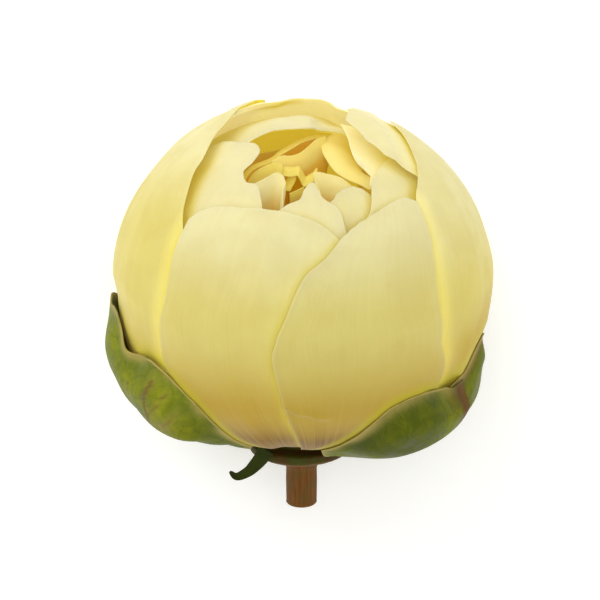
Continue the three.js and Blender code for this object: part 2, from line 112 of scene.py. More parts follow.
def lay(p):
    """Bloom coordinates (x, towards the front, along the axis) to the lying frame."""
    p = np.asarray(p, float)
    x, f, h = p[..., 0], p[..., 1], p[..., 2]
    return np.stack(
        [x, h * math.cos(PITCH) - f * math.sin(PITCH), h * math.sin(PITCH) + f * math.cos(PITCH)],
        axis=-1,
    )


def around(turn, radius, height, shift=0.0):
    """Bloom coordinates from an azimuth in radians, a radius and a height."""
    x, f = shift + radius * np.sin(turn), radius * np.cos(turn)
    return np.stack([x, f, np.broadcast_to(height, x.shape)], axis=-1)


def unit(v):
    return v / np.maximum(np.linalg.norm(v, axis=-1, keepdims=True), 1e-9)


def on_shell(shell, phi, s, depth):
    """Bloom coordinates at an azimuth and rise, at a depth under a shell."""
    a, up, down, full = shell
    cos, sin = np.abs(np.cos(np.radians(s))), np.abs(np.sin(np.radians(s)))
    power = np.where(s >= 0, 1.0, 2.0 / full)
    r = (a - depth) * cos**power
    h = np.where(s >= 0, (up - depth) * sin, -(down - depth) * sin**power)
    return around(np.radians(phi), r, h)


def to_map(points):
    """Azimuth and rise to a flat map, where the distance from the pole is 90 - rise."""
    p = np.asarray(points, float)
    turn = np.radians(p[..., 0])
    return np.stack([(90 - p[..., 1]) * np.sin(turn), (90 - p[..., 1]) * np.cos(turn)], axis=-1)


def from_map(p):
    """The flat map back to azimuth and rise."""
    return np.degrees(np.arctan2(p[..., 0], p[..., 1])), 90 - np.hypot(p[..., 0], p[..., 1])


def spline(points, t, reach=False):
    """Uniform Catmull-Rom curve; reach mirrors the end points instead of repeating them."""
    p = np.asarray(points, float)
    first = 2 * p[0] - p[1] if reach else p[0]
    last = 2 * p[-1] - p[-2] if reach else p[-1]
    q = np.vstack([first, p, last])
    x = np.clip(np.asarray(t), 0, 1) * (len(p) - 1)
    k = np.minimum(x.astype(int), len(p) - 2)
    w = (x - k)[:, None]
    a, b, c, d = q[k], q[k + 1], q[k + 2], q[k + 3]
    m, n = (c - a) / 2, (d - b) / 2
    return ((2 * b - 2 * c + m + n) * w + (-3 * b + 3 * c - 2 * m - n)) * w * w + m * w + b


def spaced(points, fractions, reach=False):
    """Points at given fractions of a spline's length."""
    t = np.linspace(0, 1, 201)
    path = spline(points, t, reach)
    length = np.concatenate([[0], np.cumsum(np.linalg.norm(np.diff(path, axis=0), axis=1))])
    return spline(points, np.interp(np.asarray(fractions) * length[-1], length, t), reach)


def distance_to(points, line):
    """Least distance from each point to a polyline."""
    a, b = line[:-1][None], line[1:][None]
    ab = b - a
    p = points[:, None]
    t = np.clip(((p - a) * ab).sum(-1) / np.maximum(1e-9, (ab * ab).sum(-1)), 0, 1)
    return np.linalg.norm(p - a - ab * t[..., None], axis=-1).min(axis=1)


def inside_of(p, loop):
    """Which points of the flat map lie inside a closed loop."""
    inside = np.zeros(len(p), bool)
    a, b = loop, np.roll(loop, 1, axis=0)
    for (ax, ay), (bx, by) in zip(a, b):
        if ay == by:
            continue
        crosses = (ay > p[:, 1]) != (by > p[:, 1])
        inside ^= crosses & (p[:, 0] < (bx - ax) * (p[:, 1] - ay) / (by - ay) + ax)
    return inside


def waves(x, y, count, seed):
    """Smooth, seeded noise made of a few sine waves, about -1 to 1."""
    draw = np.random.default_rng(seed)
    total = np.zeros(np.broadcast(x, y).shape)
    for k in range(count):
        fx, fy = draw.uniform(-1, 1, 2)
        turn = draw.uniform(0, 2 * math.pi)
        total = total + np.sin(fx * x + fy * y + turn) / (1 + 0.35 * k)
    return total / (0.55 * count)


# ---- blades: name, layer, depth, tuck at the rim, root arc, left edge, rim, right edge -------
# Azimuth (0 = front, + = right) and rise above the widest ring, in degrees.
PETALS = [
    ("petal_front_right", 0, 0, 0, (-2, 30),
     [(-1, -54), (-5, -30), (-9, -6), (-8, 0), (-5, 8), (0, 20), (7, 26)],
     [(13, 32), (21, 36.5), (29, 39), (36, 41), (43, 41.5), (48, 39)],
     [(44, -45), (50, -18), (46, -4), (44, 8), (45, 20), (47, 29)]),
    ("petal_back_right", 0, 0, 0.6, (128, 172),
     [(118, -45), (114, -5), (118, 20)],
     [(128, 33), (148, 40), (168, 38), (184, 30)],
     [(186, -45), (194, -5), (190, 18)]),
    ("petal_front_left", 1, 0, 0, (-22, 8),
     [(-40, -40), (-48, -12), (-45, 8), (-45, 24)],
     [(-44, 34), (-37, 39), (-24, 41), (-10, 41), (0, 39.5), (8, 36), (18, 24)],
     [(12, -40), (16, -10), (17, 8)]),
    ("petal_right", 1, 0, 0.3, (34, 85),
     [(38, -30), (38, 0), (41, 25), (50, 40), (55.5, 43.8), (61, 47)],
     [(68.5, 51.5), (78, 55.5), (92, 59), (106, 61), (119, 58)],
     [(112, -40), (125, 0), (128, 35)]),
    ("petal_back_left", 1, 0, 0.6, (-166, -118),
     [(-172, -45), (-178, -5), (-172, 22)],
     [(-160, 36), (-144, 43), (-128, 42), (-117, 32)],
     [(-113, -45), (-110, -10), (-112, 15)]),
    ("petal_left", 2, 0, 0.4, (-95, -26),
     [(-125, -40), (-140, 0), (-150, 35), (-154, 55)],
     [(-148, 68), (-139, 71.5), (-122, 71.4), (-106.6, 69), (-88.6, 65), (-77, 61.5)],
     [(-36, -35), (-38, 0), (-42.5, 24), (-50, 36), (-57, 47.5), (-60, 53.3)]),
    ("petal_inner_back", 2, -0.2, 0.9, (75, 130),
     [(80, -20), (80, 20), (64, 44)],
     [(52, 57.5), (52.5, 62), (51.5, 65), (55, 68.5), (60.5, 73.3), (68, 76), (93, 76.5), (137, 67),
      (152, 58)],
     [(150, -40), (165, 0), (168, 30), (160, 50)]),
    ("petal_inner_front", 2, 1.9, 0, (-8, 12),
     [(-13, -30), (-14, 5), (-13, 30)],
     [(-11, 41.4), (-5.6, 45), (-1.4, 46.6), (1, 50.5), (5, 53), (8.4, 47.2), (13.8, 43.7),
      (15.5, 40.4)],
     [(14, -30), (16, 5), (16, 30)]),
    ("petal_inner_left", 3, 2.85, 0, (-62, -30),
     [(-66, -30), (-74, 0), (-82, 30), (-86, 50)],
     [(-82, 62.8), (-72.4, 65.5), (-58, 67.4), (-49, 69), (-36, 66.2), (-34, 60.5), (-35.5, 56),
      (-30, 52.2), (-24, 51.8), (-19.6, 47), (-17, 41.7)],
     [(-22, -30), (-18, 0), (-16, 28)]),
    ("petal_inner_right", 3, 2.85, 0, (28, 62),
     [(24, -30), (22, 5), (23, 28)],
     [(25.6, 38.3), (29.4, 41.5), (35, 49.2), (39.6, 52.6), (48.3, 55.6), (59, 57.3), (68, 56.3),
      (74, 52)],
     [(68, -30), (76, 5), (78, 35)]),
    ("petal_back_tall", 4, -0.4, 0, (-195, -140),
     [(-208, -30), (-220, 10), (-230, 40), (-240, 58)],
     [(-246, 68), (-232, 72), (-205, 72.5), (-175, 72), (-150, 72.5), (-134, 73.5), (-120, 70)],
     [(-125, -20), (-110, 25), (-104, 48), (-108, 62)]),
    ("petal_crumpled", 4, 3.8, 0, (10, 32),
     [(5, -20), (4, 15), (5, 34)],
     [(7.7, 45), (12.5, 46.6), (17.7, 50.2), (22.8, 51.8), (29.5, 51.5), (34, 48)],
     [(34, -20), (37, 15), (37, 34)]),
    ("petal_pale", 5, 4.4, 0, (52, 90),
     [(44, 0), (40, 30), (38, 46)],
     [(39, 52.5), (43.5, 56), (42.5, 59.5), (42, 62.5), (49.5, 68.5), (68.5, 73.5), (108.5, 75.5),
      (140, 70)],
     [(100, 0), (112, 30), (132, 55)]),
    ("petal_top_fold", 6, 4.8, 0, (-222, -128),
     [(-240, 30), (-256, 50), (-263, 64), (-258, 73)],
     [(-231, 76.5), (-228, 81.8), (-192, 86.9), (-101, 83.9), (-94, 79.7), (-89, 76.1),
      (-82, 73), (-74, 69.9), (-67, 67.6)],
     [(-112, 30), (-92, 48), (-76, 58)]),
]
# Short inner petals start higher up the inside of the bloom.
ROOT_RISE = {"petal_back_tall": -72, "petal_crumpled": -45, "petal_pale": -30, "petal_top_fold": 8}
# Extra room under their cover for the blades that bend the most.
ROOM = {
    "petal_right": 0.35, "sepal_back_left": 0.2, "petal_left": 0.15, "petal_back_tall": 0.45,
    "petal_top_fold": 0.3, "petal_inner_back": 0.3, "petal_crumpled": 0.1,
    "sepal_back_right": 0.15,
}

SEPALS = [
    ("sepal_left", 0, 0, 1.3, (-100, -50),
     [(-130, -55), (-132, -32)],
     [(-124, -14), (-110, -6), (-95, -3), (-83, -2), (-76, -2.6), (-71, -5.5), (-67, -8.8),
      (-62, -9.6), (-56, -8.8), (-51, -9.4), (-45, -12.7), (-41, -16.7), (-37, -22.5),
      (-34.5, -30), (-32.5, -39), (-29.5, -49), (-25, -59)],
     [(-43, -77), (-32, -69)]),
    ("sepal_front_right", 0, 0, 1.2, (26, 60),
     [(20, -76), (12, -69)],
     [(9, -61.5), (13.5, -54.2), (17, -48.5), (21, -41), (25, -29.8), (29, -22), (33.5, -19),
      (41, -17.8), (47, -18.4), (53.5, -20.2), (58.5, -19.9), (62, -18.6)],
     [(61, -50), (62.5, -32)]),
    ("sepal_back_left", 1, 0, 0, (-196, -126),
     [(-206, -50), (-208, -28)],
     [(-200, -12), (-188, -6), (-170, -3), (-150, -5), (-134, -9), (-122, -16)],
     [(-112, -52), (-114, -32)]),
    ("sepal_right", 2, 0, 0, (52, 100),
     [(53, -50), (55, -32)],
     [(58, -22), (61.5, -20.2), (65, -19), (67.5, -16.5), (70, -13), (74, -10), (79, -8.8),
      (86, -11.5), (97, -15.5), (111, -19)],
     [(112, -50), (116, -32)]),
    ("sepal_back_right", 2, 0, 0, (116, 150),
     [(118, -50), (119, -28)],
     [(122, -12), (132, -5), (146, -6), (158, -12)],
     [(164, -50), (164, -28)]),
]


def along(s, stations):
    """Depth at a rise, eased between stations."""
    out = np.full(np.shape(s), float(stations[0][1]))
    for (s0, d0), (s1, d1) in zip(stations, stations[1:]):
        out = np.where(s > s0, d0 + (d1 - d0) * smooth((s - s0) / (s1 - s0)), out)
    return out


def crease(phi, s):
    """A small fold low on the front right petal, near its free edge."""
    line = -22.6 - 0.42 * (phi + 5) + 0.5 * np.sin(phi * 0.9)
    step = 0.2 * falling(s, line, 1.5) * rising(s, -46, 14)
    return (step - 0.5 * hump(s, line, 1.4)) * falling(phi, 12, 9)


def petal_base(name, phi, s):
    """Depth of the petals under BALL: where the bloom is fuller or slimmer than the shell."""
    right = rising(phi, 62, 22) * falling(phi, 150, 25)
    start = 40 - 15 * rising(phi, -178, 30) * (phi < 0)
    left = falling(phi, -86, 28) * (1 + 0.4 * rising(phi, -166, 25))
    side = np.where(phi < 0, left, rising(phi, 145, 20))
    side = side * (1 + 0.55 * hump(np.abs(phi), 175, 15))
    crown = side * rising(s, start, 22) * falling(s, 87, 9)
    if name == "petal_left":
        crown = crown - 0.5 * falling(phi, -130, 14) * rising(s, 48, 14)
    low = 1.8 * right * along(s, [(-70, 0), (-40, 0.3), (-18, 0.6), (-9, 0)])
    low = low + 0.45 * right * rising(s, 3, 14) * falling(s, 62, 20)
    foot = 0.5 * falling(s, -38, 15) * falling(np.abs(phi), 50, 20)
    under = falling(phi, -55, 15) * rising(phi, -125, 20)
    waist = 0.9 * falling(s, 2, 10 - 6.5 * under) * (1 - 0.5 * right)
    return waist + low - foot - 0.9 * crown


def sepal_base(name, phi, s):
    """Depth of the sepals under CUP."""
    if name == "sepal_left":
        drop = along(s, [(-85, 1.5), (-65, 0.6), (-50, -0.2), (-35, -0.9), (-20, -0.3), (-5, 0.3)])
        drop = drop + 0.9 * falling(phi, -62, 12) * rising(s, -14, 10)
        drop = drop + 1.2 * spot(phi, s, (-70, -35), (13, 13))
        drop = drop - 0.5 * spot(phi, s, (-87, -12), (14, 9))
        under = 2.8 * rising(phi, -85, 55) * along(s, [(-80, 0), (-62, 1), (-50, 1), (-28, 0)])
        return drop + under - 0.6 * falling(phi, -102, 12)
    if name == "sepal_right":
        return along(s, [(-85, 1.2), (-60, 0.2), (-35, 0.4), (-20, 2), (-10, 2.2)])
    if name == "sepal_front_right":
        bulge = along(s, [(-80, 0), (-62, 1), (-42, 1), (-22, 0)])
        under = along(s, [(-80, 1), (-62, 2.6), (-45, 2.2), (-28, 0.7)])
        return under * (1 - rising(phi, 18, 28)) - 0.3 * rising(phi, 40, 14) * bulge
    return np.full(np.shape(phi), 0.6 if name == "sepal_back_right" else 0.0)


class Outline:
    """A blade's four edges on its shell, and the patch between them."""

    def __init__(self, blade, shell, root_rise):
        self.name, self.layer, self.at, self.tuck, self.root, left, rim, right = blade
        self.shell, self.root_rise = shell, root_rise
        start, end = (to_map((turn, root_rise)) for turn in self.root)
        self.rim = to_map(rim)
        self.left = np.vstack([start, to_map(left), self.rim[:1]])
        self.right = np.vstack([end, to_map(right), self.rim[-1:]])
        foot, steps = 10, np.linspace(0, 1, 17)
        self.loop = np.vstack([
            self.bottom(np.linspace(0, 1 - 1 / foot, foot)),
            spaced(self.right, steps[:-1]),
            spaced(self.rim, np.linspace(1, 0, 21)[:-1]),
            spaced(self.left, steps[::-1][:-1]),
        ])
        ball = self.raised(self.loop)
        self.ring = np.vstack([ball, ball[:1]])
        self.free = self.ring[foot:]
        self.top = self.raised(spaced(self.rim, np.linspace(0, 1, 25)))

    def raised(self, p):
        return on_shell(self.shell, *from_map(p), 0)

    def bottom(self, u):
        p0, p1 = self.root
        u = np.asarray(u)
        return to_map(np.stack([p0 + (p1 - p0) * u, np.full(u.shape, self.root_rise)], -1))

    def patch(self, u, v, ripple, seed):
        """Blends the edges over the whole blade; ripple makes its free edges uneven."""
        left, right, rim = spaced(self.left, v), spaced(self.right, v), spaced(self.rim, u)
        bottom = self.bottom(u)
        if ripple:
            ends = np.sin(math.pi * u)[:, None] ** 0.5
            sway = waves(u * 60, u * 0, 7, seed)[:, None]
            rim = rim * (1 + ripple * sway * ends * 0.012)
        uu, vv = u[None, :, None], v[:, None, None]
        p = ((1 - vv) * bottom[None] + vv * rim[None] + (1 - uu) * left[:, None]
             + uu * right[:, None] - (1 - uu) * (1 - vv) * left[0] - uu * (1 - vv) * right[0]
             - (1 - uu) * vv * rim[0] - uu * vv * rim[-1])
        return p.reshape(-1, 2)

    def outside(self, phi, s):
        """Distance outside the outline, 0 inside it, in degrees about the axis."""
        q = on_shell(self.shell, phi, s, 0)
        round_axis = np.where(s < 0, np.hypot(q[:, 0], q[:, 1]), WIDEST)
        far = np.degrees(distance_to(q, self.ring) / np.maximum(round_axis, 1e-6))
        return np.where(inside_of(to_map(np.stack([phi, s], -1)), self.loop), 0.0, far)


def outlines(blades, shell, default_root):
    return [Outline(b, shell, ROOT_RISE.get(b[0], default_root)) for b in blades]


def hug(name, phi):
    """How much of its tuck a blade keeps, where no other blade slips under its rim."""
    if name == "sepal_left":
        return rising(phi, -98, 40)
    if name == "sepal_front_right":
        return falling(phi, 50, 12) * (0.3 + 0.7 * rising(phi, 8, 14))
    return np.ones(np.shape(phi))


# Where each sepal's rim lies tight on the petals, by azimuth.
LAND = {
    "sepal_left": lambda phi: 0.05 + 0.95 * rising(phi, -69, 9),
    "sepal_front_right": lambda phi: np.ones(phi.shape),
    "sepal_right": lambda phi: 1 - 0.6 * rising(phi, 84, 10),
}


def landed(points, phi, thick, lift, amount):
    """Eases points of a sepal down onto the petals, keeping their direction from the middle."""
    grid = np.arange(-88.0, 21.0, 0.5)
    ball = on_shell(BALL, grid * 0, grid, 0.9)
    angle = np.degrees(np.arctan2(points[:, 2], np.hypot(points[:, 0], points[:, 1])))
    rise = np.interp(angle, np.degrees(np.arctan2(ball[:, 2], ball[:, 1])), grid)
    target = on_shell(BALL, phi, rise, petal_base("", phi, rise) - LAND_GAP - thick - lift)
    return points + (target - points) * amount[:, None]


def depths(family, index, base, pitch, phi, s):
    """Depth of one blade at each point, and its distance outside the nearest cover."""
    found, beyond, nearest = [], [], np.full(phi.shape, 99.0)
    for i, b in enumerate(family[: index + 1]):
        d = b.at + base(b.name, phi, s)
        if b.tuck:
            rim_far = np.degrees(distance_to(on_shell(b.shell, phi, s, 0), b.top) / WIDEST)
            d = d + b.tuck * hug(b.name, phi) * near(rim_far, 11 if "sepal" in b.name else 22)
        # A blade stays at its cover's depth for so many degrees and then rises over so many.
        steep = b.name in ("petal_back_tall", "petal_inner_back", "sepal_right")
        flat, ease = (4, 7) if steep else (8, 14)
        for k in range(i):
            if family[k].layer >= b.layer:
                continue
            far = beyond[k]
            under = (found[k] + pitch + 0.4 * ROOM.get(b.name, 0)) * near(far - flat, ease)
            d = np.where(far < COVER_REACH, np.maximum(d, under), d)
            if i == index:
                nearest = np.minimum(nearest, far)
        found.append(d)
        beyond.append(b.outside(phi, s))
    return found[index], nearest


# The stem's outline from its cut end to the receptacle, in mm: radius, height, sideways shift.
STEM_RINGS = [
    (2.9, -49.3, -0.3), (3.2, -49, -0.3), (3.25, -44, -0.3), (3.2, -41.4, -0.3),
    (3.7, -39.8, -0.3), (5.9, -38.4, -0.4), (9, -37.6, -0.6), (10.4, -36.7, -0.7),
    (10.4, -35.2, -0.7), (9.3, -34.9, -0.5), (7.15, -34.7, 0), (7.15, -25.5, 0),
    (6, -23.6, 0), (3.5, -23, 0),
]


def bloom_centre():
    """Where the bloom's middle lies in the frame, read from the stem's box."""
    turn = np.linspace(0, 2 * math.pi, STEM_SIDES, endpoint=False)
    ring = np.vstack([lay(around(turn, r, h, x)) for r, h, x in STEM_RINGS])
    low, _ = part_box("stem")
    return np.array(low) / MM - ring.min(axis=0)


CENTRE = bloom_centre()


# ---- meshes ---------------------------------------------------------------------------------
def slab(outer, inner, nu, nv):
    """Faces of a closed blade from its outer and inner grids of (nv+1) x (nu+1) points."""
    w = nu + 1
    count = w * (nv + 1)
    i, j = np.meshgrid(np.arange(nu), np.arange(nv))
    a = (j * w + i).ravel()
    faces = [np.stack([a, a + 1, a + 1 + w, a + w], -1)]
    faces.append(np.stack([a, a + w, a + 1 + w, a + 1], -1) + count)

    def wall(p, q):
        faces.append(np.stack([p, p + count, q + count, q], -1))

    k = np.arange(nu)
    wall(k, k + 1)
    wall(nv * w + k + 1, nv * w + k)
    k = np.arange(nv)
    wall((k + 1) * w, k * w)
    wall(k * w + nu, (k + 1) * w + nu)
    faces = np.vstack(faces)
    points = np.vstack([outer, inner])
    p = points[faces]
    volume = np.einsum("ij,ij->i", p[:, 0], np.cross(p[:, 1], p[:, 2])).sum()
    volume += np.einsum("ij,ij->i", p[:, 0], np.cross(p[:, 2], p[:, 3])).sum()
    return points, faces if volume > 0 else faces[:, ::-1]


def make_piece(name, points, faces, masks, material, replaced):
    """A smooth-shaded piece in metres, with its masks, riding on the root body."""
    mesh = bpy.data.meshes.new(name)
    mesh.from_pydata((points * MM).tolist(), [], [list(map(int, f)) for f in faces])
    mesh.validate()
    mesh.update()
    mesh.polygons.foreach_set("use_smooth", np.ones(len(mesh.polygons), bool))
    for key, values in masks.items():
        layer = mesh.attributes.new(key, "FLOAT", "POINT")
        layer.data.foreach_set("value", np.asarray(values, np.float32))
    mesh.materials.append(material)
    piece = bpy.data.objects.new(name, mesh)
    bpy.context.scene.collection.objects.link(piece)
    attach(piece, "root")
    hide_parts(replaced)


def dense(n, ends):
    """Fractions from 0 to 1, closer together towards both ends or the far end only."""
    t = np.linspace(0, 1, n + 1)
    if ends == "both":
        return 0.55 * t + 0.45 * (1 - np.cos(math.pi * t)) / 2
    return 1 - (1 - t) ** 1.35


def rest(points, level):
    """Lying frame to the part's frame, pressed flat where the bloom's weight lies on it."""
    q = lay(points) + CENTRE
    q[:, 2] = np.maximum(q[:, 2], level)
    return q


# ---- materials ------------------------------------------------------------------------------
def linear(code):
    """Linear colour from a screen colour such as f1e8ad."""
    parts = [int(code[k:k + 2], 16) / 255 for k in (0, 2, 4)]
    return tuple(c / 12.92 if c <= 0.04045 else ((c + 0.055) / 1.055) ** 2.4 for c in parts)


class Graph:
    """Short-hand for adding and joining shader nodes."""

    def __init__(self, tree):
        self.tree = tree

    def add(self, kind, **settings):
        node = self.tree.nodes.new(kind)
        for key, value in settings.items():
            setattr(node, key, value)
        return node

    def put(self, socket, value):
        if isinstance(value, bpy.types.NodeSocket):
            self.tree.links.new(value, socket)
        elif isinstance(value, tuple) and len(value) == 3 and socket.type == "RGBA":
            socket.default_value = (*value, 1)
        else:
            socket.default_value = value

    def fill(self, node, values):
        """Links or sets several inputs of a node, and returns its first output."""
        for key, value in values.items():
            self.put(node.inputs[key], value)
        return node.outputs[0]

    def math(self, operation, a, b):
        return self.fill(self.add("ShaderNodeMath", operation=operation), {0: a, 1: b})

    def times(self, a, b):
        return self.math("MULTIPLY", a, b)

    def remap(self, value, low, high, to_low=0.0, to_high=1.0):
        node = self.add("ShaderNodeMapRange", interpolation_type="SMOOTHSTEP")
        return self.fill(node, {"Value": value, "From Min": low, "From Max": high,
                                "To Min": to_low, "To Max": to_high})

    def mix(self, factor, a, b):
        node = self.add("ShaderNodeMix", data_type="RGBA")
        self.fill(node, {0: factor, 6: a, 7: b})
        return node.outputs[2]

    def over(self, face, mask, amount, colour):
        """Lays a colour over a face as strongly as a mask and an amount say."""
        if isinstance(mask, str):
            mask = self.mask(mask)
        return self.mix(self.times(mask, amount), face, colour)

    def mask(self, name):
        return self.add("ShaderNodeAttribute", attribute_name=name).outputs["Fac"]

    def noise(self, place, **values):
        node = self.add("ShaderNodeTexNoise")
        self.fill(node, {"Vector": place, **values})
        return node.outputs

    def ramp(self, value, stops):
        node = self.add("ShaderNodeValToRGB")
        ramp = node.color_ramp
        ramp.interpolation = "EASE"
        while len(ramp.elements) < len(stops):
            ramp.elements.new(0.5)
        for element, (place, colour) in zip(ramp.elements, stops):
            element.position = place
            element.color = (*colour, 1)
        return self.fill(node, {0: value})

    def group(self, tree, **values):
        node = self.add("ShaderNodeGroup", node_tree=tree)
        self.fill(node, {key.capitalize(): value for key, value in values.items()})
        return node.outputs


def group_tree(name, inputs, outputs, build):
    """A shader node group with float sockets, built once and then shared."""
    tree = bpy.data.node_groups.get(name)
    if tree is None:
        tree = bpy.data.node_groups.new(name, "ShaderNodeTree")
        for key, value in inputs.items():
            socket = tree.interface.new_socket(key, in_out="INPUT", socket_type="NodeSocketFloat")
            socket.default_value = value
        for key in outputs:
            tree.interface.new_socket(key, in_out="OUTPUT", socket_type="NodeSocketFloat")
        g = Graph(tree)
        build(g, g.add("NodeGroupInput").outputs, g.add("NodeGroupOutput").inputs)
    return tree


def fibre_streaks():
    """Uneven streaks that run from root to rim, coarse and fine, as a mask and as a height."""

    def build(g, ins, outs):
        across, up = g.mask("across"), g.mask("upward")
        heights = []
        for scale, detail in ((1.0, 3.0), (3.3, 2.0)):
            place = g.fill(g.add("ShaderNodeCombineXYZ"), {
                0: g.times(g.times(across, ins["Count"]), scale),
                1: g.times(up, ins["Waver"]), 2: scale,
            })
            heights.append(g.noise(place, Scale=1.0, Detail=detail, Roughness=0.6)["Fac"])
        both = g.math("ADD", g.times(heights[0], 0.6), g.times(heights[1], 0.4))
        g.put(outs["Mask"], g.remap(both, 0.38, 0.64))
        g.put(outs["Height"], both)

    return group_tree("Fibre streaks", {"Count": 40.0, "Waver": 1.6}, ("Mask", "Height"), build)


def tissue_mottle():
    """Soft cloudy patches and fine grain over the whole surface, in metres."""

    def build(g, ins, outs):
        place = g.add("ShaderNodeTexCoord").outputs["Object"]
        soft = g.noise(place, Scale=ins["Patch"], Detail=3.0)["Fac"]
        g.put(outs["Patches"], g.remap(soft, 0.35, 0.65))
        g.put(outs["Height"], g.noise(place, Scale=ins["Grain"], Detail=2.0)["Fac"])

    return group_tree(
        "Tissue mottle", {"Patch": 120.0, "Grain": 1500.0}, ("Patches", "Height"), build)


def leaf_veins():
    """A fine net of veins between the ribs of a leaf, as a mask."""

    def build(g, ins, outs):
        place = g.fill(g.add("ShaderNodeCombineXYZ"), {
            0: g.times(g.mask("across"), ins["Count"]),
            1: g.times(g.mask("upward"), g.times(ins["Count"], 0.4)),
        })
        moved = g.fill(g.add("ShaderNodeVectorMath", operation="MULTIPLY_ADD"), {
            0: g.noise(place, Scale=0.7)["Color"], 1: (1.6, 1.6, 0), 2: place,
        })
        cells = g.add("ShaderNodeTexVoronoi", feature="DISTANCE_TO_EDGE")
        g.fill(cells, {"Vector": moved, "Scale": 1.0})
        g.put(outs["Mask"], g.remap(cells.outputs["Distance"], 0.0, ins["Width"], 1.0, 0.0))

    return group_tree("Leaf veins", {"Count": 26.0, "Width": 0.06}, ("Mask",), build)


def new_material(name):
    material = bpy.data.materials.new(name)
    material.use_nodes = True
    shader = next(n for n in material.node_tree.nodes if n.type == "BSDF_PRINCIPLED")
    return material, Graph(material.node_tree), shader


def relief(g, fibres, mottle, grain):
    """Streaks with a share of fine grain, as a height."""
    return g.math("ADD", fibres["Height"], g.times(mottle["Height"], grain))


def skin_surface(g, shader, face, rough, specular, height, strength, distance):
    """Joins a face's colour, its roughness (source, least, most) and its relief to the shader."""
    bump = g.add("ShaderNodeBump")
    g.fill(bump, {"Strength": strength, "Distance": distance, "Height": height})
    source, least, most = rough
    g.fill(shader, {
        "Base Color": face, "Roughness": g.remap(source, 0.0, 1.0, least, most),
        "Specular IOR Level": specular, "Normal": bump.outputs["Normal"],
    })


def petal_material(name, tints, streak_count=34.0):
    """Petal skin: gold below to cream above, streaked, with a deeper inner face and pale rim;
    painted shade, painted contact shade and a painted glow are laid over it.
    """
    material, g, shader = new_material(name)
    fibres = g.group(fibre_streaks(), count=streak_count)
    mottle = g.group(tissue_mottle())
    rise = g.remap(g.mask("rise"), -80.0, 70.0)
    rise.node.interpolation_type = "LINEAR"
    # The root stop is partly the petals' own gold and partly painted shade, darkening the feet as
    # the shade above the sepals would.
    outer = g.ramp(rise, [(0.18, tints["root"]), (0.35, tints["low"]), (0.56, tints["middle"]),
                          (0.78, tints["top"])])
    face = g.mix(g.mask("inner_face"), outer, tints["inner"])
    for mask, amount, tint in (
        ("tone", 0.85, "deep"),
        (fibres["Mask"], g.remap(rise, 0.75, 0.3, 0.06, 0.24), "streak"),
        (mottle["Patches"], 0.12, "low"),
        # The contact mask is painted shade: deep yellow laid along a petal where its cover's edge
        # lies over it.
        ("contact", 0.6, "deep"), ("leafy", 0.75, "leafy"), ("pale", 0.9, "pale"),
        ("rim", 0.15, "rim"),
    ):
        face = g.over(face, mask, amount, tints[tint])
    # Painted light: an emission, with no lamp there, that brightens faces lying in shade round the
    # heart and near covers.
    glow = g.mix(g.mask("pale"), g.mix(rise, tints["ember"], tints["glow"]), tints["pale_glow"])
    g.fill(shader, {
        "Emission Color": g.mix(g.mask("glow"), (0.0, 0.0, 0.0), glow), "Emission Strength": 1.0,
        "Sheen Weight": 0.06, "Sheen Roughness": 0.5, "Subsurface Weight": 0.3,
        "Subsurface Radius": (1.0, 0.8, 0.3), "Subsurface Scale": 0.0025,
    })
    height = relief(g, fibres, mottle, 0.12)
    skin_surface(g, shader, face, (mottle["Patches"], 0.5, 0.62), 0.2, height, 0.35, 0.0003)
    return material


def leaf_material(name, tints):
    """Sepal or bract skin: mottled green, veined, with a dry coloured margin."""
    material, g, shader = new_material(name)
    fibres = g.group(fibre_streaks(), count=26.0, waver=2.4)
    mottle = g.group(tissue_mottle(), patch=210.0, grain=2200.0)
    specks = g.group(tissue_mottle(), patch=900.0, grain=2200.0)
    veins = g.group(leaf_veins(), count=16.0, width=0.05)
    small = g.group(leaf_veins(), count=48.0, width=0.07)
    net = g.math("ADD", g.times(veins["Mask"], 0.3), g.times(small["Mask"], 0.18))
    face = g.mix(g.remap(mottle["Patches"], 0.0, 1.0, 0.45, 1.0), tints["dark"], tints["bright"])
    for mask, amount, tint in (
        ("dull", 0.7, "dull"), (specks["Patches"], 0.25, "dark"), (fibres["Mask"], 0.2, "vein"),
        (net, 1.0, "dark"), ("shade", 0.75, "shade"), ("blush", 0.85, "blush"),
        ("inner_face", 1.0, "inner"), ("margin", 1.0, "margin"),
    ):
        face = g.over(face, mask, amount, tints[tint])
    height = g.math("SUBTRACT", relief(g, fibres, mottle, 0.3), g.times(net, 0.8))
    skin_surface(g, shader, face, (mottle["Patches"], 0.48, 0.66), 0.12, height, 0.5, 0.0004)
    return material


def stem_material(name, tints):
    """Ribbed brown-green stem skin with a paler cut end."""
    material, g, shader = new_material(name)
    fibres = g.group(fibre_streaks(), count=42.0, waver=3.0)
    mottle = g.group(tissue_mottle(), patch=420.0, grain=2600.0)
    face = g.mix(fibres["Mask"], tints["bark"], tints["rib"])
    face = g.over(face, mottle["Patches"], 0.4, tints["green"])
    face = g.mix(g.mask("disc"), face, g.mix(mottle["Patches"], tints["disc"], tints["sepal"]))
    face = g.mix(g.mask("cut"), face, tints["pith"])
    height = relief(g, fibres, mottle, 0.3)
    skin_surface(g, shader, face, (fibres["Mask"], 0.55, 0.75), 0.15, height, 0.6, 0.0004)
    return material


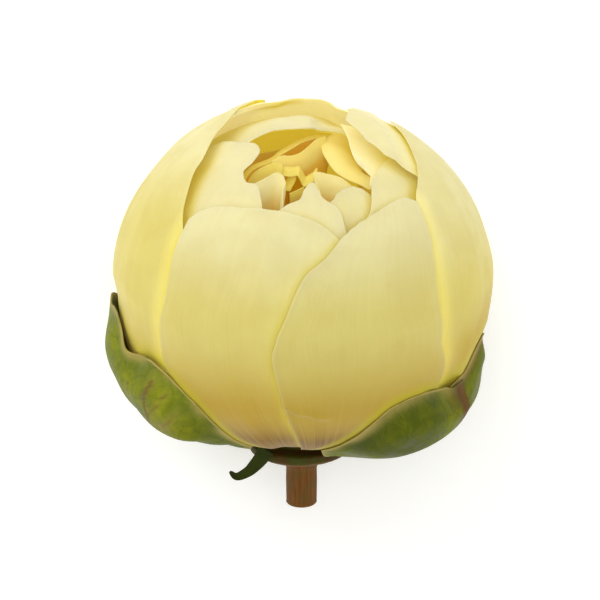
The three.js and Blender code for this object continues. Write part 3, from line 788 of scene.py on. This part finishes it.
# ---- blades as pieces -----------------------------------------------------------------------
def blade_piece(family, index, base, pitch, form):
    """One petal or sepal with a thin uneven rim, from its outline and the layers over it."""
    outline, (nu, nv) = family[index], form["grid"]
    u, v = dense(nu, "both"), dense(nv, "far")
    seed = SEED + 7 * index
    phi, s = from_map(outline.patch(u, v, form["ripple"], seed))
    depth, beyond = depths(family, index, base, pitch, phi, s)
    place = on_shell(outline.shell, phi, s, 0)
    far = distance_to(place, outline.free)
    swell = form["swell"] * waves(phi / 14, s / 11, 6, SEED) * falling(s, 88, 10)
    lip = form["curl"] * near(far, 2.6)
    frill = form["frill"] * waves(phi / 2.2, s / 2.2, 7, seed + 3) * near(far, 6)
    depth = depth + swell + lip + frill * falling(s, 86, 8)
    if outline.name == "petal_front_right":
        depth = depth + crease(phi, s)
    thick = form["edge"] + (form["thick"] - form["edge"]) * smooth(far / form["taper"])
    outer = on_shell(outline.shell, phi, s, depth)
    inner = on_shell(outline.shell, phi, s, depth + thick)
    if outline.name in LAND:
        amount = LAND[outline.name](phi) * near(distance_to(place, outline.top) - 0.3, LAND_WIDTH)
        lift = 0.7 * rising(phi, 53, 4) if outline.name == "sepal_front_right" else 0
        outer = landed(outer, phi, thick, lift, amount)
        inner = landed(inner, phi, 0, lift, amount)
    level = form["level"](depth)
    points, faces = slab(rest(outer, level), rest(inner, level + thick), nu, nv)
    uu, vv = np.meshgrid(u, v)
    masks = both_faces(across=uu.ravel(), upward=vv.ravel())
    masks["inner_face"] = np.repeat([0.0, 1.0], len(phi))
    return points, faces, masks, phi, s, far, beyond


def heading(points):
    """Points moved straight out from the bloom's middle onto one sphere."""
    return points * (WIDEST / np.linalg.norm(points, axis=1, keepdims=True))


def petal_masks(name, inside, rims, phi, s, far, beyond):
    """Where a petal is golden (partly painted shade), shaded by its cover (painted shade), green by
    a sepal (partly painted shade and green reflection), pale near its rims (partly painted light)
    or lit by a painted glow.
    """
    tone, pale, glow = PETAL_LOOK[name][4:]
    # Painted shade: the rise is lowered, so the face turns more golden and darker, on the right
    # side away from the key light, low on the left, near the foot, and high on the left petal,
    # which faces the light.
    painted_shade = (20 * rising(phi, 50, 25) * falling(phi, 150, 30) * falling(s, 14, 30)
            + 11 * falling(phi, -60, 20) * falling(s, 8, 20) + 9 * falling(s, -38, 16))
    if name == "petal_left":
        painted_shade = painted_shade + 22 * rising(s, 5, 20)
    place = heading(on_shell(BALL, phi, s, 0))
    away = np.min([distance_to(place, rim) for rim in rims], axis=0)
    masks = both_faces(
        rise=s - painted_shade, contact=near(beyond, 2.4), rim=near(far, 0.7),
        # The green near a sepal's rim is partly the petal's own colour, partly painted shade and a
        # painted green reflection from the sepal.
        leafy=near(away, 3.2 + 2.4 * rising(phi, 45, 25), 1.1), tone=np.full(phi.shape, tone),
        # Pale is partly the cream of the rims and partly painted light: lighter near the rim,
        # deeper yellow further in where the inner faces lie in shade.
        pale=pale * near(far, 30.0 if name == "petal_back_tall" else 8.0, 1.3),
        glow=near(beyond, 6, 1.3),
    )
    # Painted light: the glow is strongest on inner faces and near a cover's edge, where these faces
    # lie in shade.
    masks["glow"] = glow * (0.15 + 0.85 * np.maximum(inside, masks["glow"]))
    if name == "petal_back_tall":
        # Painted shade: a deeper gold patch on the inner face, deep in the bowl where it lies in
        # shade.
        gold = inside * np.tile(spot(phi, s, (-160, 64.5), (19, 4.5)), 2)
        masks["pale"] = masks["pale"] * (1 - gold)
        masks["tone"] = np.maximum(masks["tone"], gold)
    # The top fold's shaded inner face gets painted glow instead of pale.
    if name == "petal_top_fold":
        masks["pale"] = masks["pale"] * (1 - inside)
        masks["glow"] = np.maximum(masks["glow"], 0.6 * inside)
    return masks


# Dry cracks on the left sepal: width in mm and azimuth and rise of each one's points.
CRACKS = [
    (0.42, [(-51.5, -14), (-53, -18), (-54, -23.5), (-54.5, -29), (-56.5, -36), (-56, -42)]),
    (0.25, [(-62.5, -17), (-65, -22.5), (-68.5, -29), (-69, -34)]),
    (0.22, [(-46, -17), (-48.5, -21), (-54, -27)]),
    (0.22, [(-43, -24), (-46, -28), (-55, -33)]),
]


def cracks(phi, s):
    """How cracked, and how browned around a crack, the left sepal is."""
    here = on_shell(CUP, phi, s, 0)
    line, brown = phi * 0, phi * 0
    for wide, points in CRACKS:
        path = np.array(points, float)
        far = distance_to(here, on_shell(CUP, path[:, 0], path[:, 1], 0))
        far = far + 0.05 * waves(phi / 1.5, s / 1.5, 5, SEED + 31)
        line = np.maximum(line, near(far, wide, 1.4) * min(1, wide * 3))
        brown = np.maximum(brown, near(far, wide * 9) * 0.8)
    tan = spot(phi, s, (-48, -30), (7, 6))
    patchy = smooth(waves(phi / 2.5, s / 2.5, 6, SEED + 33) + 0.6)
    return line, brown * patchy * 0.5 + 0.5 * tan


def sepal_masks(name, phi, s, far):
    """Where a sepal is dry, dull or reddish, and where painted shade darkens it to deep green."""
    blotch = 0.5 + 0.5 * waves(phi / 3, s / 3, 6, SEED + 20)
    margin = np.maximum(near(far, 0.55) * 0.85, near(far, 2.2) * 0.75 * smooth(blotch * 1.6 - 0.2))
    blush = shade = phi * 0
    if name == "sepal_left":
        blush, dry = cracks(phi, s)
        margin = np.maximum(margin, 0.36 * dry)
        shade = 0.4 * (1 - 0.8 * rising(s, -32, 12))
    if name == "sepal_front_right":
        margin = margin * (1 - 0.9 * rising(phi, 53, 5))
        blush = (0.6 * rising(phi, 50, 8) * rising(s, -32, 9)
                 + rising(phi, 57.5, 3) * rising(s, -46, 14))
        shade = falling(phi, 62, 20) * rising(s, -70, 30)
    if name == "sepal_right":
        blush = (0.9 * hump(phi, 62, 3) * rising(s, -46, 14)
                 + 0.75 * near(far, 2.5, 1.2) * rising(s, -26, 8))
        shade = shade + 0.4
    # Painted shade: darker lower down, over the left and right sepals and at the lower right.
    return both_faces(
        margin=margin, dull=near(far, 3.5, 1.1) * 0.8, blush=np.clip(blush, 0, 1),
        shade=0.35 * falling(s, -30, 25) + 0.8 * shade,
    )


PETAL_LOOK = {
    # grid, ripple, frill, curl, tone, pale, glow; tone is partly painted shade on the left and
    # right petals, pale partly painted light near the rims, glow painted light
    "petal_front_right": ((72, 120), 0.5, 0.04, 0.15, 0.0, 0.0, 0.0),
    "petal_front_left": ((48, 64), 0.5, 0.04, 0.15, 0.0, 0.0, 0.1),
    "petal_left": ((60, 76), 0.3, 0.05, 0.12, 0.12, 0.0, 0.42),
    "petal_right": ((56, 72), 0.3, 0.05, 0.12, 0.2, 0.0, 0.42),
    "petal_back_left": ((44, 56), 0.5, 0.05, 0.15, 0.0, 0.0, 0.05),
    "petal_back_right": ((44, 56), 0.5, 0.05, 0.15, 0.0, 0.0, 0.05),
    "petal_inner_back": ((60, 60), 0.4, 0.08, 0.0, 0.0, 0.3, 0.25),
    "petal_inner_front": ((40, 56), 0.8, 0.12, 0.0, 0.0, 0.5, 0.08),
    "petal_inner_left": ((60, 60), 0.7, 0.12, 0.0, 0.0, 0.5, 0.15),
    "petal_inner_right": ((52, 56), 0.7, 0.12, 0.0, 0.0, 0.4, 0.15),
    "petal_back_tall": ((60, 60), 0.15, 0.03, 0.0, 0.0, 1.0, 0.5),
    "petal_crumpled": ((44, 48), 1.2, 0.25, 0.0, 0.1, 0.2, 0.1),
    "petal_pale": ((56, 52), 0.8, 0.12, 0.0, 0.0, 0.85, 0.42),
    "petal_top_fold": ((80, 56), 0.4, 0.08, 0.0, 0.0, 0.6, 0.12),
}


# The heart's petals: rim points in bloom coordinates, the way from the rim to the blade's
# middle, and a root arc (azimuths, radius, height).
HEART = [
    ([(-11.6, 1.5, 20), (-11.3, 1, 20.9), (-9.5, 0.5, 22.5), (-5.7, -0.5, 24), (-3.8, -1.5, 25.2),
      (-0.8, -3, 26.6), (2.4, -4, 27.4), (4.4, -5, 27.3)], (-2, -9, 1), (-125, -190, 12, -2)),
    ([(-6.1, 3, 24.8), (-4.1, 2.2, 25.8), (-2.4, 1.5, 25.6), (-0.7, 0.8, 25.9), (0.9, 0, 26.8),
      (2.9, -1.5, 28.1), (4.6, -3, 28.4)], (0.5, -0.5, -8), (-100, 60, 4, 3)),
    ([(-4.0, 6, 22.9), (-2.4, 6.5, 22.9), (-1.1, 7, 23.3), (-0.5, 7, 22.5), (0.2, 7, 21.1),
      (1.0, 7, 21.5), (2.0, 7, 22.2), (2.5, 7, 23.1)], (0.5, -6, 6), (-40, 45, 3, 3)),
    ([(-11.0, 6, 21.4), (-9.8, 6, 23.4), (-8.0, 6, 24.7), (-6.0, 6, 25.5), (-4.4, 6, 25.4),
      (-3.9, 6, 24.9)], (-1, 1, -8), (-80, -20, 11, -2)),
    ([(-9.4, 15, 24.2), (-7.9, 14, 24.7), (-6.8, 13, 25.0), (-5.2, 12, 25.5), (-4.2, 12, 25.1),
      (-3.7, 12.5, 24.5), (-3.5, 13, 23.7), (-3.8, 15, 22.8), (-3.9, 17, 20.3)],
     (-1, 2.5, -9), (-50, -12, 15, -4)),
    ([(-1.3, 6, 22.8), (-1.5, 6.3, 21.9), (-2.0, 6.6, 21.0), (-2.5, 7, 20.0)],
     (-4, -2, 0.5), (-70, -30, 7, 8)),
    ([(3.7, 14, 20.9), (3.0, 12.5, 22.6), (2.3, 11, 24.1), (2.1, 10, 24.8), (3.1, 9.5, 24.8),
      (4.5, 9, 24.3), (5.9, 9, 24.0), (7.6, 9.5, 23.5), (9.3, 10, 22.3), (10.5, 11, 21.5)],
     (1.5, 3, -8), (5, 45, 14, -3)),
    ([(5.2, -5, 27.6), (4.2, -3.5, 26.9), (3.7, -2, 26.2), (3.9, 0, 25.6), (4.6, 1.5, 24.8),
      (5.4, 3, 23.9), (6.4, 5, 23.3), (7.6, 6, 22.8), (9.0, 7, 22.4), (11.0, 8, 21.7),
      (12.9, 9, 20.9)], (8, -4, 4), (130, 62, 16, 3)),
    ([(-2.7, 9, 20.3), (-1.3, 8.5, 20.7), (0.2, 8, 21.3)], (0.3, -1.5, -4), (-20, 20, 8, 5)),
    ([(-14.2, -4, 18.5), (-12.6, -8, 20.5), (-9, -11, 22), (-4, -12.5, 22.6), (1, -12.5, 22.6),
      (6, -11, 22)], (-2, -6, -5), (-110, -190, 15, -4)),
    ([(9, -11, 23.5), (13.5, -8, 21.5), (16.5, -3, 19.5), (17.5, 3, 17.5)],
     (4, -2, -7), (140, 70, 16, -5)),
    ([(-17.5, 2, 15), (-15.5, 8, 17.5), (-11.5, 13, 19)], (-3, 1.5, -8), (-88, -40, 16, -5)),
]
# The core that they stand out of: radius, height, sideways shift.
CORE = [(6, -22.5, 0), (13, -20.5, 0), (18, -14, 0), (20, -6, 0), (19.5, 0, 0), (16, 5, 0),
        (9, 8, 0)]

# How cream each of the heart's petals is, and how much painted glow, an emission standing in for
# light through the petals, its rim and foot give off.
HEART_TONES = (
    (0.15, 0.45, 0.45), (0.3, 0.45, 0.03), (0.1, 0.35, 0.1), (0.15, 0.45, 0.3), (0.95, 0.25, 0.1),
    (0.0, 0.3, 0.15), (0.7, 0.3, 0.1), (0.4, 0.45, 0.45), (0.1, 0.35, 0.1), (0.1, 0.2, 0.2),
    (0.2, 0.25, 0.2), (0.5, 0.2, 0.1),
)
BRIGHT_HEART = (7, 10)     # petals of the heart that are bright down to their foot


def ruffle(rim, mid, root, thick, frill, seed):
    """One inner petal of the heart, thin at its rim and gently frilled."""
    nu, nv = HEART_GRID
    u, v = np.linspace(0, 1, nu + 1), dense(nv, "far")
    top = spaced(rim, u, reach=True)
    first, last, radius, height = root
    foot = around(np.radians(first + (last - first) * u), radius, height)
    ctrl = top + np.array(mid, float)
    t = v[:, None, None]
    grid = (1 - t) ** 2 * foot[None] + 2 * t * (1 - t) * ctrl[None] + t**2 * top[None]
    normal = unit(np.cross(np.gradient(grid, axis=1), np.gradient(grid, axis=0)))
    uu, vv = np.meshgrid(u, v)
    length = np.linalg.norm(np.diff(top, axis=0), axis=1).sum()
    sway = frill * waves(uu * length * 1.1, vv * 3, 6, seed) * rising(vv, 0.45, 0.5)
    grid = grid + normal * sway[..., None]
    inward = smooth((1 - vv) * 9) * smooth(uu * 12) * smooth((1 - uu) * 12)
    half = HEART_RIM + (thick / 2 - HEART_RIM) * inward
    outer = (grid + normal * half[..., None]).reshape(-1, 3)
    inner = (grid - normal * half[..., None]).reshape(-1, 3)
    points, faces = slab(lay(outer) + CENTRE, lay(inner) + CENTRE, nu, nv)
    return points, faces, both_faces(
        across=uu.ravel(), upward=vv.ravel(), rim=rising(vv, 0.94, 0.06).ravel())


def turned(rings, sides, wobble=None):
    """Closed turned shape about the bloom's axis, in bloom coordinates, as points and faces;
    wobble, if given, moves each ring by angle and height.
    """
    turn = np.linspace(0, 2 * math.pi, sides, endpoint=False)
    rows = [around(turn, r + (wobble(turn, h) if wobble else 0), h, x) for r, h, x in rings]
    points = np.vstack(rows + [[(rings[k][2], 0, rings[k][1])] for k in (0, -1)])
    low, high = len(points) - 2, len(points) - 1
    faces = []
    for j in range(len(rings) - 1):
        for k in range(sides):
            a, b = j * sides + k, j * sides + (k + 1) % sides
            faces.append((a, a + sides, b + sides, b))
    last = (len(rings) - 1) * sides
    for k in range(sides):
        faces.append((low, k, (k + 1) % sides))
        faces.append((high, last + (k + 1) % sides, last + k))
    return points, faces


# ---- sizes and colours ------------------------------------------------------------------------
def length(name, description, default):
    return bpy.props.FloatProperty(
        name=name, description=description, default=default, min=0.0, unit="LENGTH", precision=5
    )


def colour(name, description, code):
    return bpy.props.FloatVectorProperty(
        name=name, description=description, default=linear(code), size=3, min=0, max=1,
        subtype="COLOR",
    )


class PeonyShape(bpy.types.PropertyGroup):
    """Thicknesses and waviness of the bloom's blades."""

    petal_thick: length("Petal thickness", "Thickness of a petal's middle", 0.00036)
    petal_edge: length("Petal edge", "Thickness of a petal's rim", 0.00014)
    petal_swell: length("Petal swell", "Height of the broad waves that all petals share", 0.0002)
    heart_thick: length("Heart petal thickness", "Thickness of the heart's petals", 0.0005)
    heart_frill: length("Heart frill", "Height of the frills at the heart's rims", 0.0003)
    sepal_thick: length("Sepal thickness", "Thickness of a sepal's middle", 0.0009)
    sepal_edge: length("Sepal edge", "Thickness of a sepal's rim", 0.0003)
    stem_ribs: length("Stem ribs", "Height of the ribs along the stem", 0.00009)


class PeonyColours(bpy.types.PropertyGroup):
    """Colours of the petals, the heart and the green parts."""

    petal_top: colour("Petal top", "Cream near the rims of the outer petals", "e6dca4")
    petal_middle: colour("Petal middle", "Pale yellow of the outer petals' widest part", "d8c974")
    petal_low: colour("Petal low", "Straw yellow under the widest part", "b49430")
    # Partly the petals' own gold at the foot, partly painted shade darkening it where it meets the
    # sepals.
    petal_root: colour("Petal root", "Gold at the foot of the petals", "704c10")
    petal_inner: colour("Petal inside", "Yellow of the petals' inner faces", "e0cc40")
    # Partly the petals' own deeper gold, partly painted shade where a petal tucks under its cover.
    petal_deep: colour("Deep gold", "Strong yellow where petals touch or lie deep", "d6c23c")
    petal_streak: colour("Petal streaks", "Golden streaks along the petals", "c8ae48")
    # Partly the petals' own green-yellow base, partly painted shade and a painted green reflection
    # from the sepal's rim.
    leafy: colour("Petal by a sepal", "Green yellow where a petal comes out of a sepal", "bcb01c")
    petal_rim: colour("Petal rim", "Pale line along the thin rims", "ece4b0")
    heart_top: colour("Heart rim", "Bright yellow of the heart's rims", "dfce62")
    heart_low: colour("Heart depth", "Golden yellow deep in the heart", "e2b41a")
    # Painted light: these three colours are emitted, not lit, and brighten shaded faces round the
    # heart and near covers.
    glow: colour("Petal glow", "Light through the thin petals round the heart", "a89e34")
    pale_glow: colour("Pale glow", "Light through the pale petals of the crown", "d2cca0")
    ember: colour("Deep glow", "Warm light at the foot of the heart's petals", "a88012")
    sepal_dark: colour("Sepal green", "Darker green of the sepals", "4c5a02")
    sepal_bright: colour("Sepal light green", "Lighter green patches", "848a04")
    # Painted shade: this deep green darkens the sepals lower down and at the lower right.
    sepal_shade: colour("Sepal shade", "Deep green of the sepal at the lower right", "2c3600")
    sepal_dull: colour("Sepal edge green", "Dull grey green towards the sepals' edges", "66742a")
    sepal_margin: colour("Sepal margin", "Dry tan edge of the sepals", "b9a45c")
    sepal_blush: colour("Sepal blush", "Reddish brown tinge", "5c3014")
    stem_bark: colour("Stem skin", "Brown skin of the stem", "66390c")
    stem_green: colour("Stem green", "Green showing through the stem's skin", "575020")
    floor: colour("Floor", "Pale floor under the bloom", "fbfbf9")


def chosen(context, **names):
    """The colours that a material needs, each from the property that is named."""
    return {key: tuple(getattr(context.scene.peony_colours, name)) for key, name in names.items()}


# ---- operators ----------------------------------------------------------------------------------
class PEONY_OT_petals(bpy.types.Operator):
    """Build the outer, inner and crown petals"""

    bl_idname = "peony.petals"
    bl_label = "Petals"

    def execute(self, context):
        shape = context.scene.peony_shape
        skin = petal_material("Cream petal", chosen(
            context, root="petal_root", low="petal_low", middle="petal_middle", top="petal_top",
            inner="petal_inner", deep="petal_deep", streak="petal_streak", rim="petal_rim",
            pale="petal_top", glow="glow", ember="glow", pale_glow="pale_glow", leafy="leafy",
        ))
        family = outlines(PETALS, BALL, PETAL_ROOT)
        rims = [heading(sepal.top) for sepal in outlines(SEPALS, CUP, SEPAL_ROOT)]
        for index, (name, *_) in enumerate(PETALS):
            grid, ripple, frill, curl = PETAL_LOOK[name][:4]
            points, faces, masks, *place = blade_piece(family, index, petal_base, PETAL_PITCH, {
                "grid": grid, "ripple": ripple, "frill": frill, "curl": curl,
                "swell": shape.petal_swell / MM, "edge": shape.petal_edge / MM,
                "thick": shape.petal_thick / MM, "taper": 3.0,
                "level": lambda depth: PETAL_BED + depth,
            })
            masks.update(petal_masks(name, masks["inner_face"], rims, *place))
            make_piece("fine_" + name, points, faces, masks, skin, name)
        return {"FINISHED"}


class PEONY_OT_heart(bpy.types.Operator):
    """Build the ruffled petals in the bloom's opening and the core that they stand out of"""

    bl_idname = "peony.heart"
    bl_label = "Heart"

    def execute(self, context):
        shape = context.scene.peony_shape
        skin = petal_material("Golden heart petal", chosen(
            context, root="heart_low", low="heart_low", middle="heart_top", top="heart_top",
            inner="heart_top", deep="heart_low", streak="heart_low", rim="heart_top",
            pale="petal_top", glow="glow", ember="ember", pale_glow="pale_glow", leafy="heart_top",
        ), streak_count=14.0)
        all_points, all_faces, all_masks, start = [], [], [], 0
        for k, (rim, mid, root) in enumerate(HEART):
            points, faces, masks = ruffle(
                rim, mid, root, shape.heart_thick / MM, shape.heart_frill / MM, SEED + 50 + k)
            up, (cream, glow, foot) = masks["upward"], HEART_TONES[k]
            masks["rise"] = -60 + 105 * rising(up, 0.58, 0.42)
            if k in BRIGHT_HEART:
                masks["rise"] = np.maximum(masks["rise"], 10)
            # Partly the rims' own cream, partly painted light on the lit rims over the shaded
            # depth.
            masks["pale"] = cream * smooth(up * 2 - 0.9)
            # Painted light: each heart petal's rim and foot give off a glow.
            masks["glow"] = foot + (glow - foot) * rising(up, 0.65, 0.35)
            all_points.append(points)
            all_faces += [tuple(int(n) + start for n in f) for f in faces]
            all_masks.append(masks)
            start += len(points)
        core, core_faces = turned(CORE, CORE_SIDES)
        all_points.append(lay(core) + CENTRE)
        all_faces += [tuple(n + start for n in f) for f in core_faces]
        zero = np.zeros(len(core))
        # The core gives off a faint painted glow.
        all_masks.append({"across": zero, "upward": zero, "rim": zero, "rise": zero - 80,
                          "pale": zero, "glow": zero + 0.05})
        masks = {key: np.concatenate([m[key] for m in all_masks]) for key in all_masks[0]}
        for key in ("contact", "tone", "inner_face", "leafy"):
            masks[key] = np.zeros(len(masks["rise"]))
        make_piece("fine_heart", np.vstack(all_points), all_faces, masks, skin, "heart")
        return {"FINISHED"}


class PEONY_OT_sepals(bpy.types.Operator):
    """Build the five green sepals that cup the bloom"""

    bl_idname = "peony.sepals"
    bl_label = "Sepals"

    def execute(self, context):
        shape = context.scene.peony_shape
        skin = leaf_material("Green sepal", chosen(
            context, dark="sepal_dark", bright="sepal_bright", vein="sepal_bright",
            blush="sepal_blush", inner="sepal_dark", margin="sepal_margin", shade="sepal_shade",
            dull="sepal_dull",
        ))
        family = outlines(SEPALS, CUP, SEPAL_ROOT)
        for index, (name, *_) in enumerate(SEPALS):
            points, faces, masks, phi, s, far, _ = blade_piece(
                family, index, sepal_base, SEPAL_PITCH, {
                    "grid": (180, 130) if name == "sepal_left" else (96, 64),
                    "ripple": 0.9, "frill": 0.1, "curl": 0.1, "swell": SEPAL_SWELL,
                    "edge": shape.sepal_edge / MM, "thick": shape.sepal_thick / MM, "taper": 3.5,
                    "level": lambda depth: np.maximum(0, depth - 0.3),
                })
            masks.update(sepal_masks(name, phi, s, far))
            make_piece("fine_" + name, points, faces, masks, skin, name)
        return {"FINISHED"}


class PEONY_OT_stem(bpy.types.Operator):
    """Build the cut stem stub with its calyx disc"""

    bl_idname = "peony.stem"
    bl_label = "Stem"

    def execute(self, context):
        skin = stem_material("Stem skin", chosen(context, bark="stem_bark", green="stem_green") | {
            "rib": linear("7c5220"), "disc": linear("4a3010"), "pith": linear("b79a63"),
            "sepal": linear("3e440c"),
        })
        fine = []
        for a, b in zip(STEM_RINGS, STEM_RINGS[1:]):
            steps = max(2, int(math.hypot(b[0] - a[0], b[1] - a[1]) / STEM_STEP))
            fine += [tuple(p + (q - p) * k / steps for p, q in zip(a, b)) for k in range(steps)]
        fine.append(STEM_RINGS[-1])
        ribs = context.scene.peony_shape.stem_ribs / MM

        def wobble(turn, h):
            """Ribs along the stub and a ragged edge round the calyx disc."""
            x, y = np.sin(turn), np.cos(turn)
            stub = float(rising(h, STEM_CUT, 0.4) * falling(h, -34.95, 0.5))
            disc = float(rising(h, -38.6, 1.5) * falling(h, -35.0, 0.5))
            ragged = 0.22 * waves(x * 9, y * 9, 7, SEED + 91) * disc
            return ragged - ribs * (1 + waves(x * 20, y * 20 + h / 6, 7, SEED + 90)) * stub

        points, faces = turned(fine, FINE_STEM_SIDES, wobble)
        h, r = points[:, 2], np.hypot(points[:, 0], points[:, 1])
        masks = {
            "across": np.arctan2(points[:, 0], points[:, 1]) / (2 * math.pi) + 0.5,
            "upward": (h - STEM_CUT) / RECEPTACLE, "disc": rising(h, -37.6, 1.5),
            "cut": falling(h, -49.0, 0.12) * falling(r, 2.9, 0.3),
        }
        make_piece("fine_stem", lay(points) + CENTRE, faces, masks, skin, "stem")
        return {"FINISHED"}


class PEONY_OT_bract(bpy.types.Operator):
    """Build the small hooked leaf below the bloom"""

    bl_idname = "peony.bract"
    bl_label = "Bract"

    def execute(self, context):
        codes = {"dark": "232c02", "bright": "38420a", "vein": "48500f", "inner": "2a3304",
                 "margin": "4a3c14", "shade": "232c02", "dull": "2c360a"}
        skin = leaf_material("Dark bract", chosen(context, blush="sepal_blush") | {
            key: linear(code) for key, code in codes.items()
        })
        spine = [(-7.3, -34.8, -2.8), (-8.2, -36.3, -3.3), (-9.6, -38, -4.2), (-11.1, -39.4, -4.7),
                 (-13.3, -40.4, -5.3), (-14.7, -39.5, -5.8)]
        nu, nv = 16, 48
        v = np.linspace(0, 1, nv + 1)
        c = spline(spine, v, reach=True)
        along_spine = unit(np.gradient(c, axis=0))
        side = unit(np.cross(np.array([0, 0, 1.0]), along_spine))
        up = np.cross(along_spine, side)
        u = np.linspace(-1, 1, nu + 1)
        half = 1.5 * (1 - v) ** 0.6 + 0.2
        uu, vv = np.meshgrid(u, v)
        middle = c[:, None] + side[:, None] * (uu * half[:, None])[..., None]
        middle = middle + up[:, None] * (0.35 * uu**2)[..., None]
        thick = (0.12 + 0.28 * np.sqrt(np.clip(1 - uu**2, 0, 1)))[..., None]
        outer = (middle + up[:, None] * thick).reshape(-1, 3) + CENTRE
        inner = (middle - up[:, None] * thick).reshape(-1, 3) + CENTRE
        points, faces = slab(outer, inner, nu, nv)
        across, none = uu.ravel(), uu.ravel() * 0
        masks = both_faces(
            across=(across + 1) / 2, upward=vv.ravel(), inner_face=none, blush=none, shade=none,
            dull=none, margin=rising(np.abs(across), 0.8, 0.2) * 0.6,
        )
        make_piece("fine_bract", points, faces, masks, skin, "bract")
        return {"FINISHED"}


class PEONY_OT_stage(bpy.types.Operator):
    """Build the pale floor, the soft lights and the camera above the bloom"""

    bl_idname = "peony.stage"
    bl_label = "Stage"

    def execute(self, context):
        scene = context.scene
        material, g, shader = new_material("Pale floor")
        mottle = g.group(tissue_mottle(), patch=6.0, grain=900.0)
        pale = tuple(scene.peony_colours.floor)
        g.fill(shader, {
            "Base Color": g.over(pale, mottle["Patches"], 0.02, (0.8, 0.8, 0.79)),
            "Roughness": 0.9, "Emission Color": (1, 1, 1, 1), "Emission Strength": 0.2,
        })
        mesh = bpy.data.meshes.new("floor")
        corners = ((-1, -1, 0), (1, -1, 0), (1, 1, 0), (-1, 1, 0))
        corners = [tuple(FLOOR_SIZE * c for c in corner) for corner in corners]
        mesh.from_pydata(corners, [], [(0, 1, 2, 3)])
        mesh.materials.append(material)
        floor = bpy.data.objects.new("floor", mesh)
        scene.collection.objects.link(floor)
        floor.location.z = -FLOOR_DROP

        world = bpy.data.worlds.new("Studio air")
        scene.world = world
        world.use_nodes = True
        background = world.node_tree.nodes["Background"]
        background.inputs["Color"].default_value = (1.0, 0.995, 0.985, 1)
        background.inputs["Strength"].default_value = 0.82
        middle = Vector((0, 0, 0.035))
        for name, place, width, watts in (
            ("key", (-0.4, 0.6, 0.75), 0.8, 2.7),
            ("overhead", (0.05, -0.05, 1.1), 0.5, 1.9),
        ):
            lamp = bpy.data.lights.new(name, "AREA")
            lamp.shape, lamp.size, lamp.energy = "DISK", width, watts
            item = bpy.data.objects.new(name, lamp)
            item.location = place
            item.rotation_euler = (middle - Vector(place)).to_track_quat("-Z", "Y").to_euler()
            scene.collection.objects.link(item)

        camera = bpy.data.cameras.new("camera")
        camera.sensor_fit = "HORIZONTAL"
        camera.angle = 2 * math.atan(VIEW_SLOPE)
        camera.clip_start, camera.clip_end = 0.01, 20
        item = bpy.data.objects.new("camera", camera)
        item.location = (CENTRE + CAMERA_FROM_MIDDLE) * MM
        scene.collection.objects.link(item)
        scene.camera = item
        scene.view_settings.view_transform = "Standard"
        scene.view_settings.look = "None"
        return {"FINISHED"}


class PEONY_PT_panel(bpy.types.Panel):
    """Sidebar panel with the bloom's sizes, colours and steps"""

    bl_label = "Cut peony bloom"
    bl_idname = "PEONY_PT_panel"
    bl_space_type = "VIEW_3D"
    bl_region_type = "UI"
    bl_category = "Peony"

    def draw(self, context):
        for group in (context.scene.peony_shape, context.scene.peony_colours):
            box = self.layout.box()
            for key in group.bl_rna.properties.keys():
                if key not in ("rna_type", "name"):
                    box.prop(group, key)
        for step in STEPS:
            self.layout.operator(step.bl_idname)


STEPS = (PEONY_OT_petals, PEONY_OT_heart, PEONY_OT_sepals, PEONY_OT_stem, PEONY_OT_bract,
         PEONY_OT_stage)
CLASSES = (PeonyShape, PeonyColours, *STEPS, PEONY_PT_panel)


def register():
    for item in CLASSES:
        bpy.utils.register_class(item)
    bpy.types.Scene.peony_shape = bpy.props.PointerProperty(type=PeonyShape)
    bpy.types.Scene.peony_colours = bpy.props.PointerProperty(type=PeonyColours)


def unregister():
    del bpy.types.Scene.peony_colours
    del bpy.types.Scene.peony_shape
    for item in reversed(CLASSES):
        bpy.utils.unregister_class(item)


def main():
    register()
    bpy.ops.peony.petals()
    bpy.ops.peony.heart()
    bpy.ops.peony.sepals()
    bpy.ops.peony.stem()
    bpy.ops.peony.bract()
    bpy.ops.peony.stage()


if __name__ == "__main__":
    main()
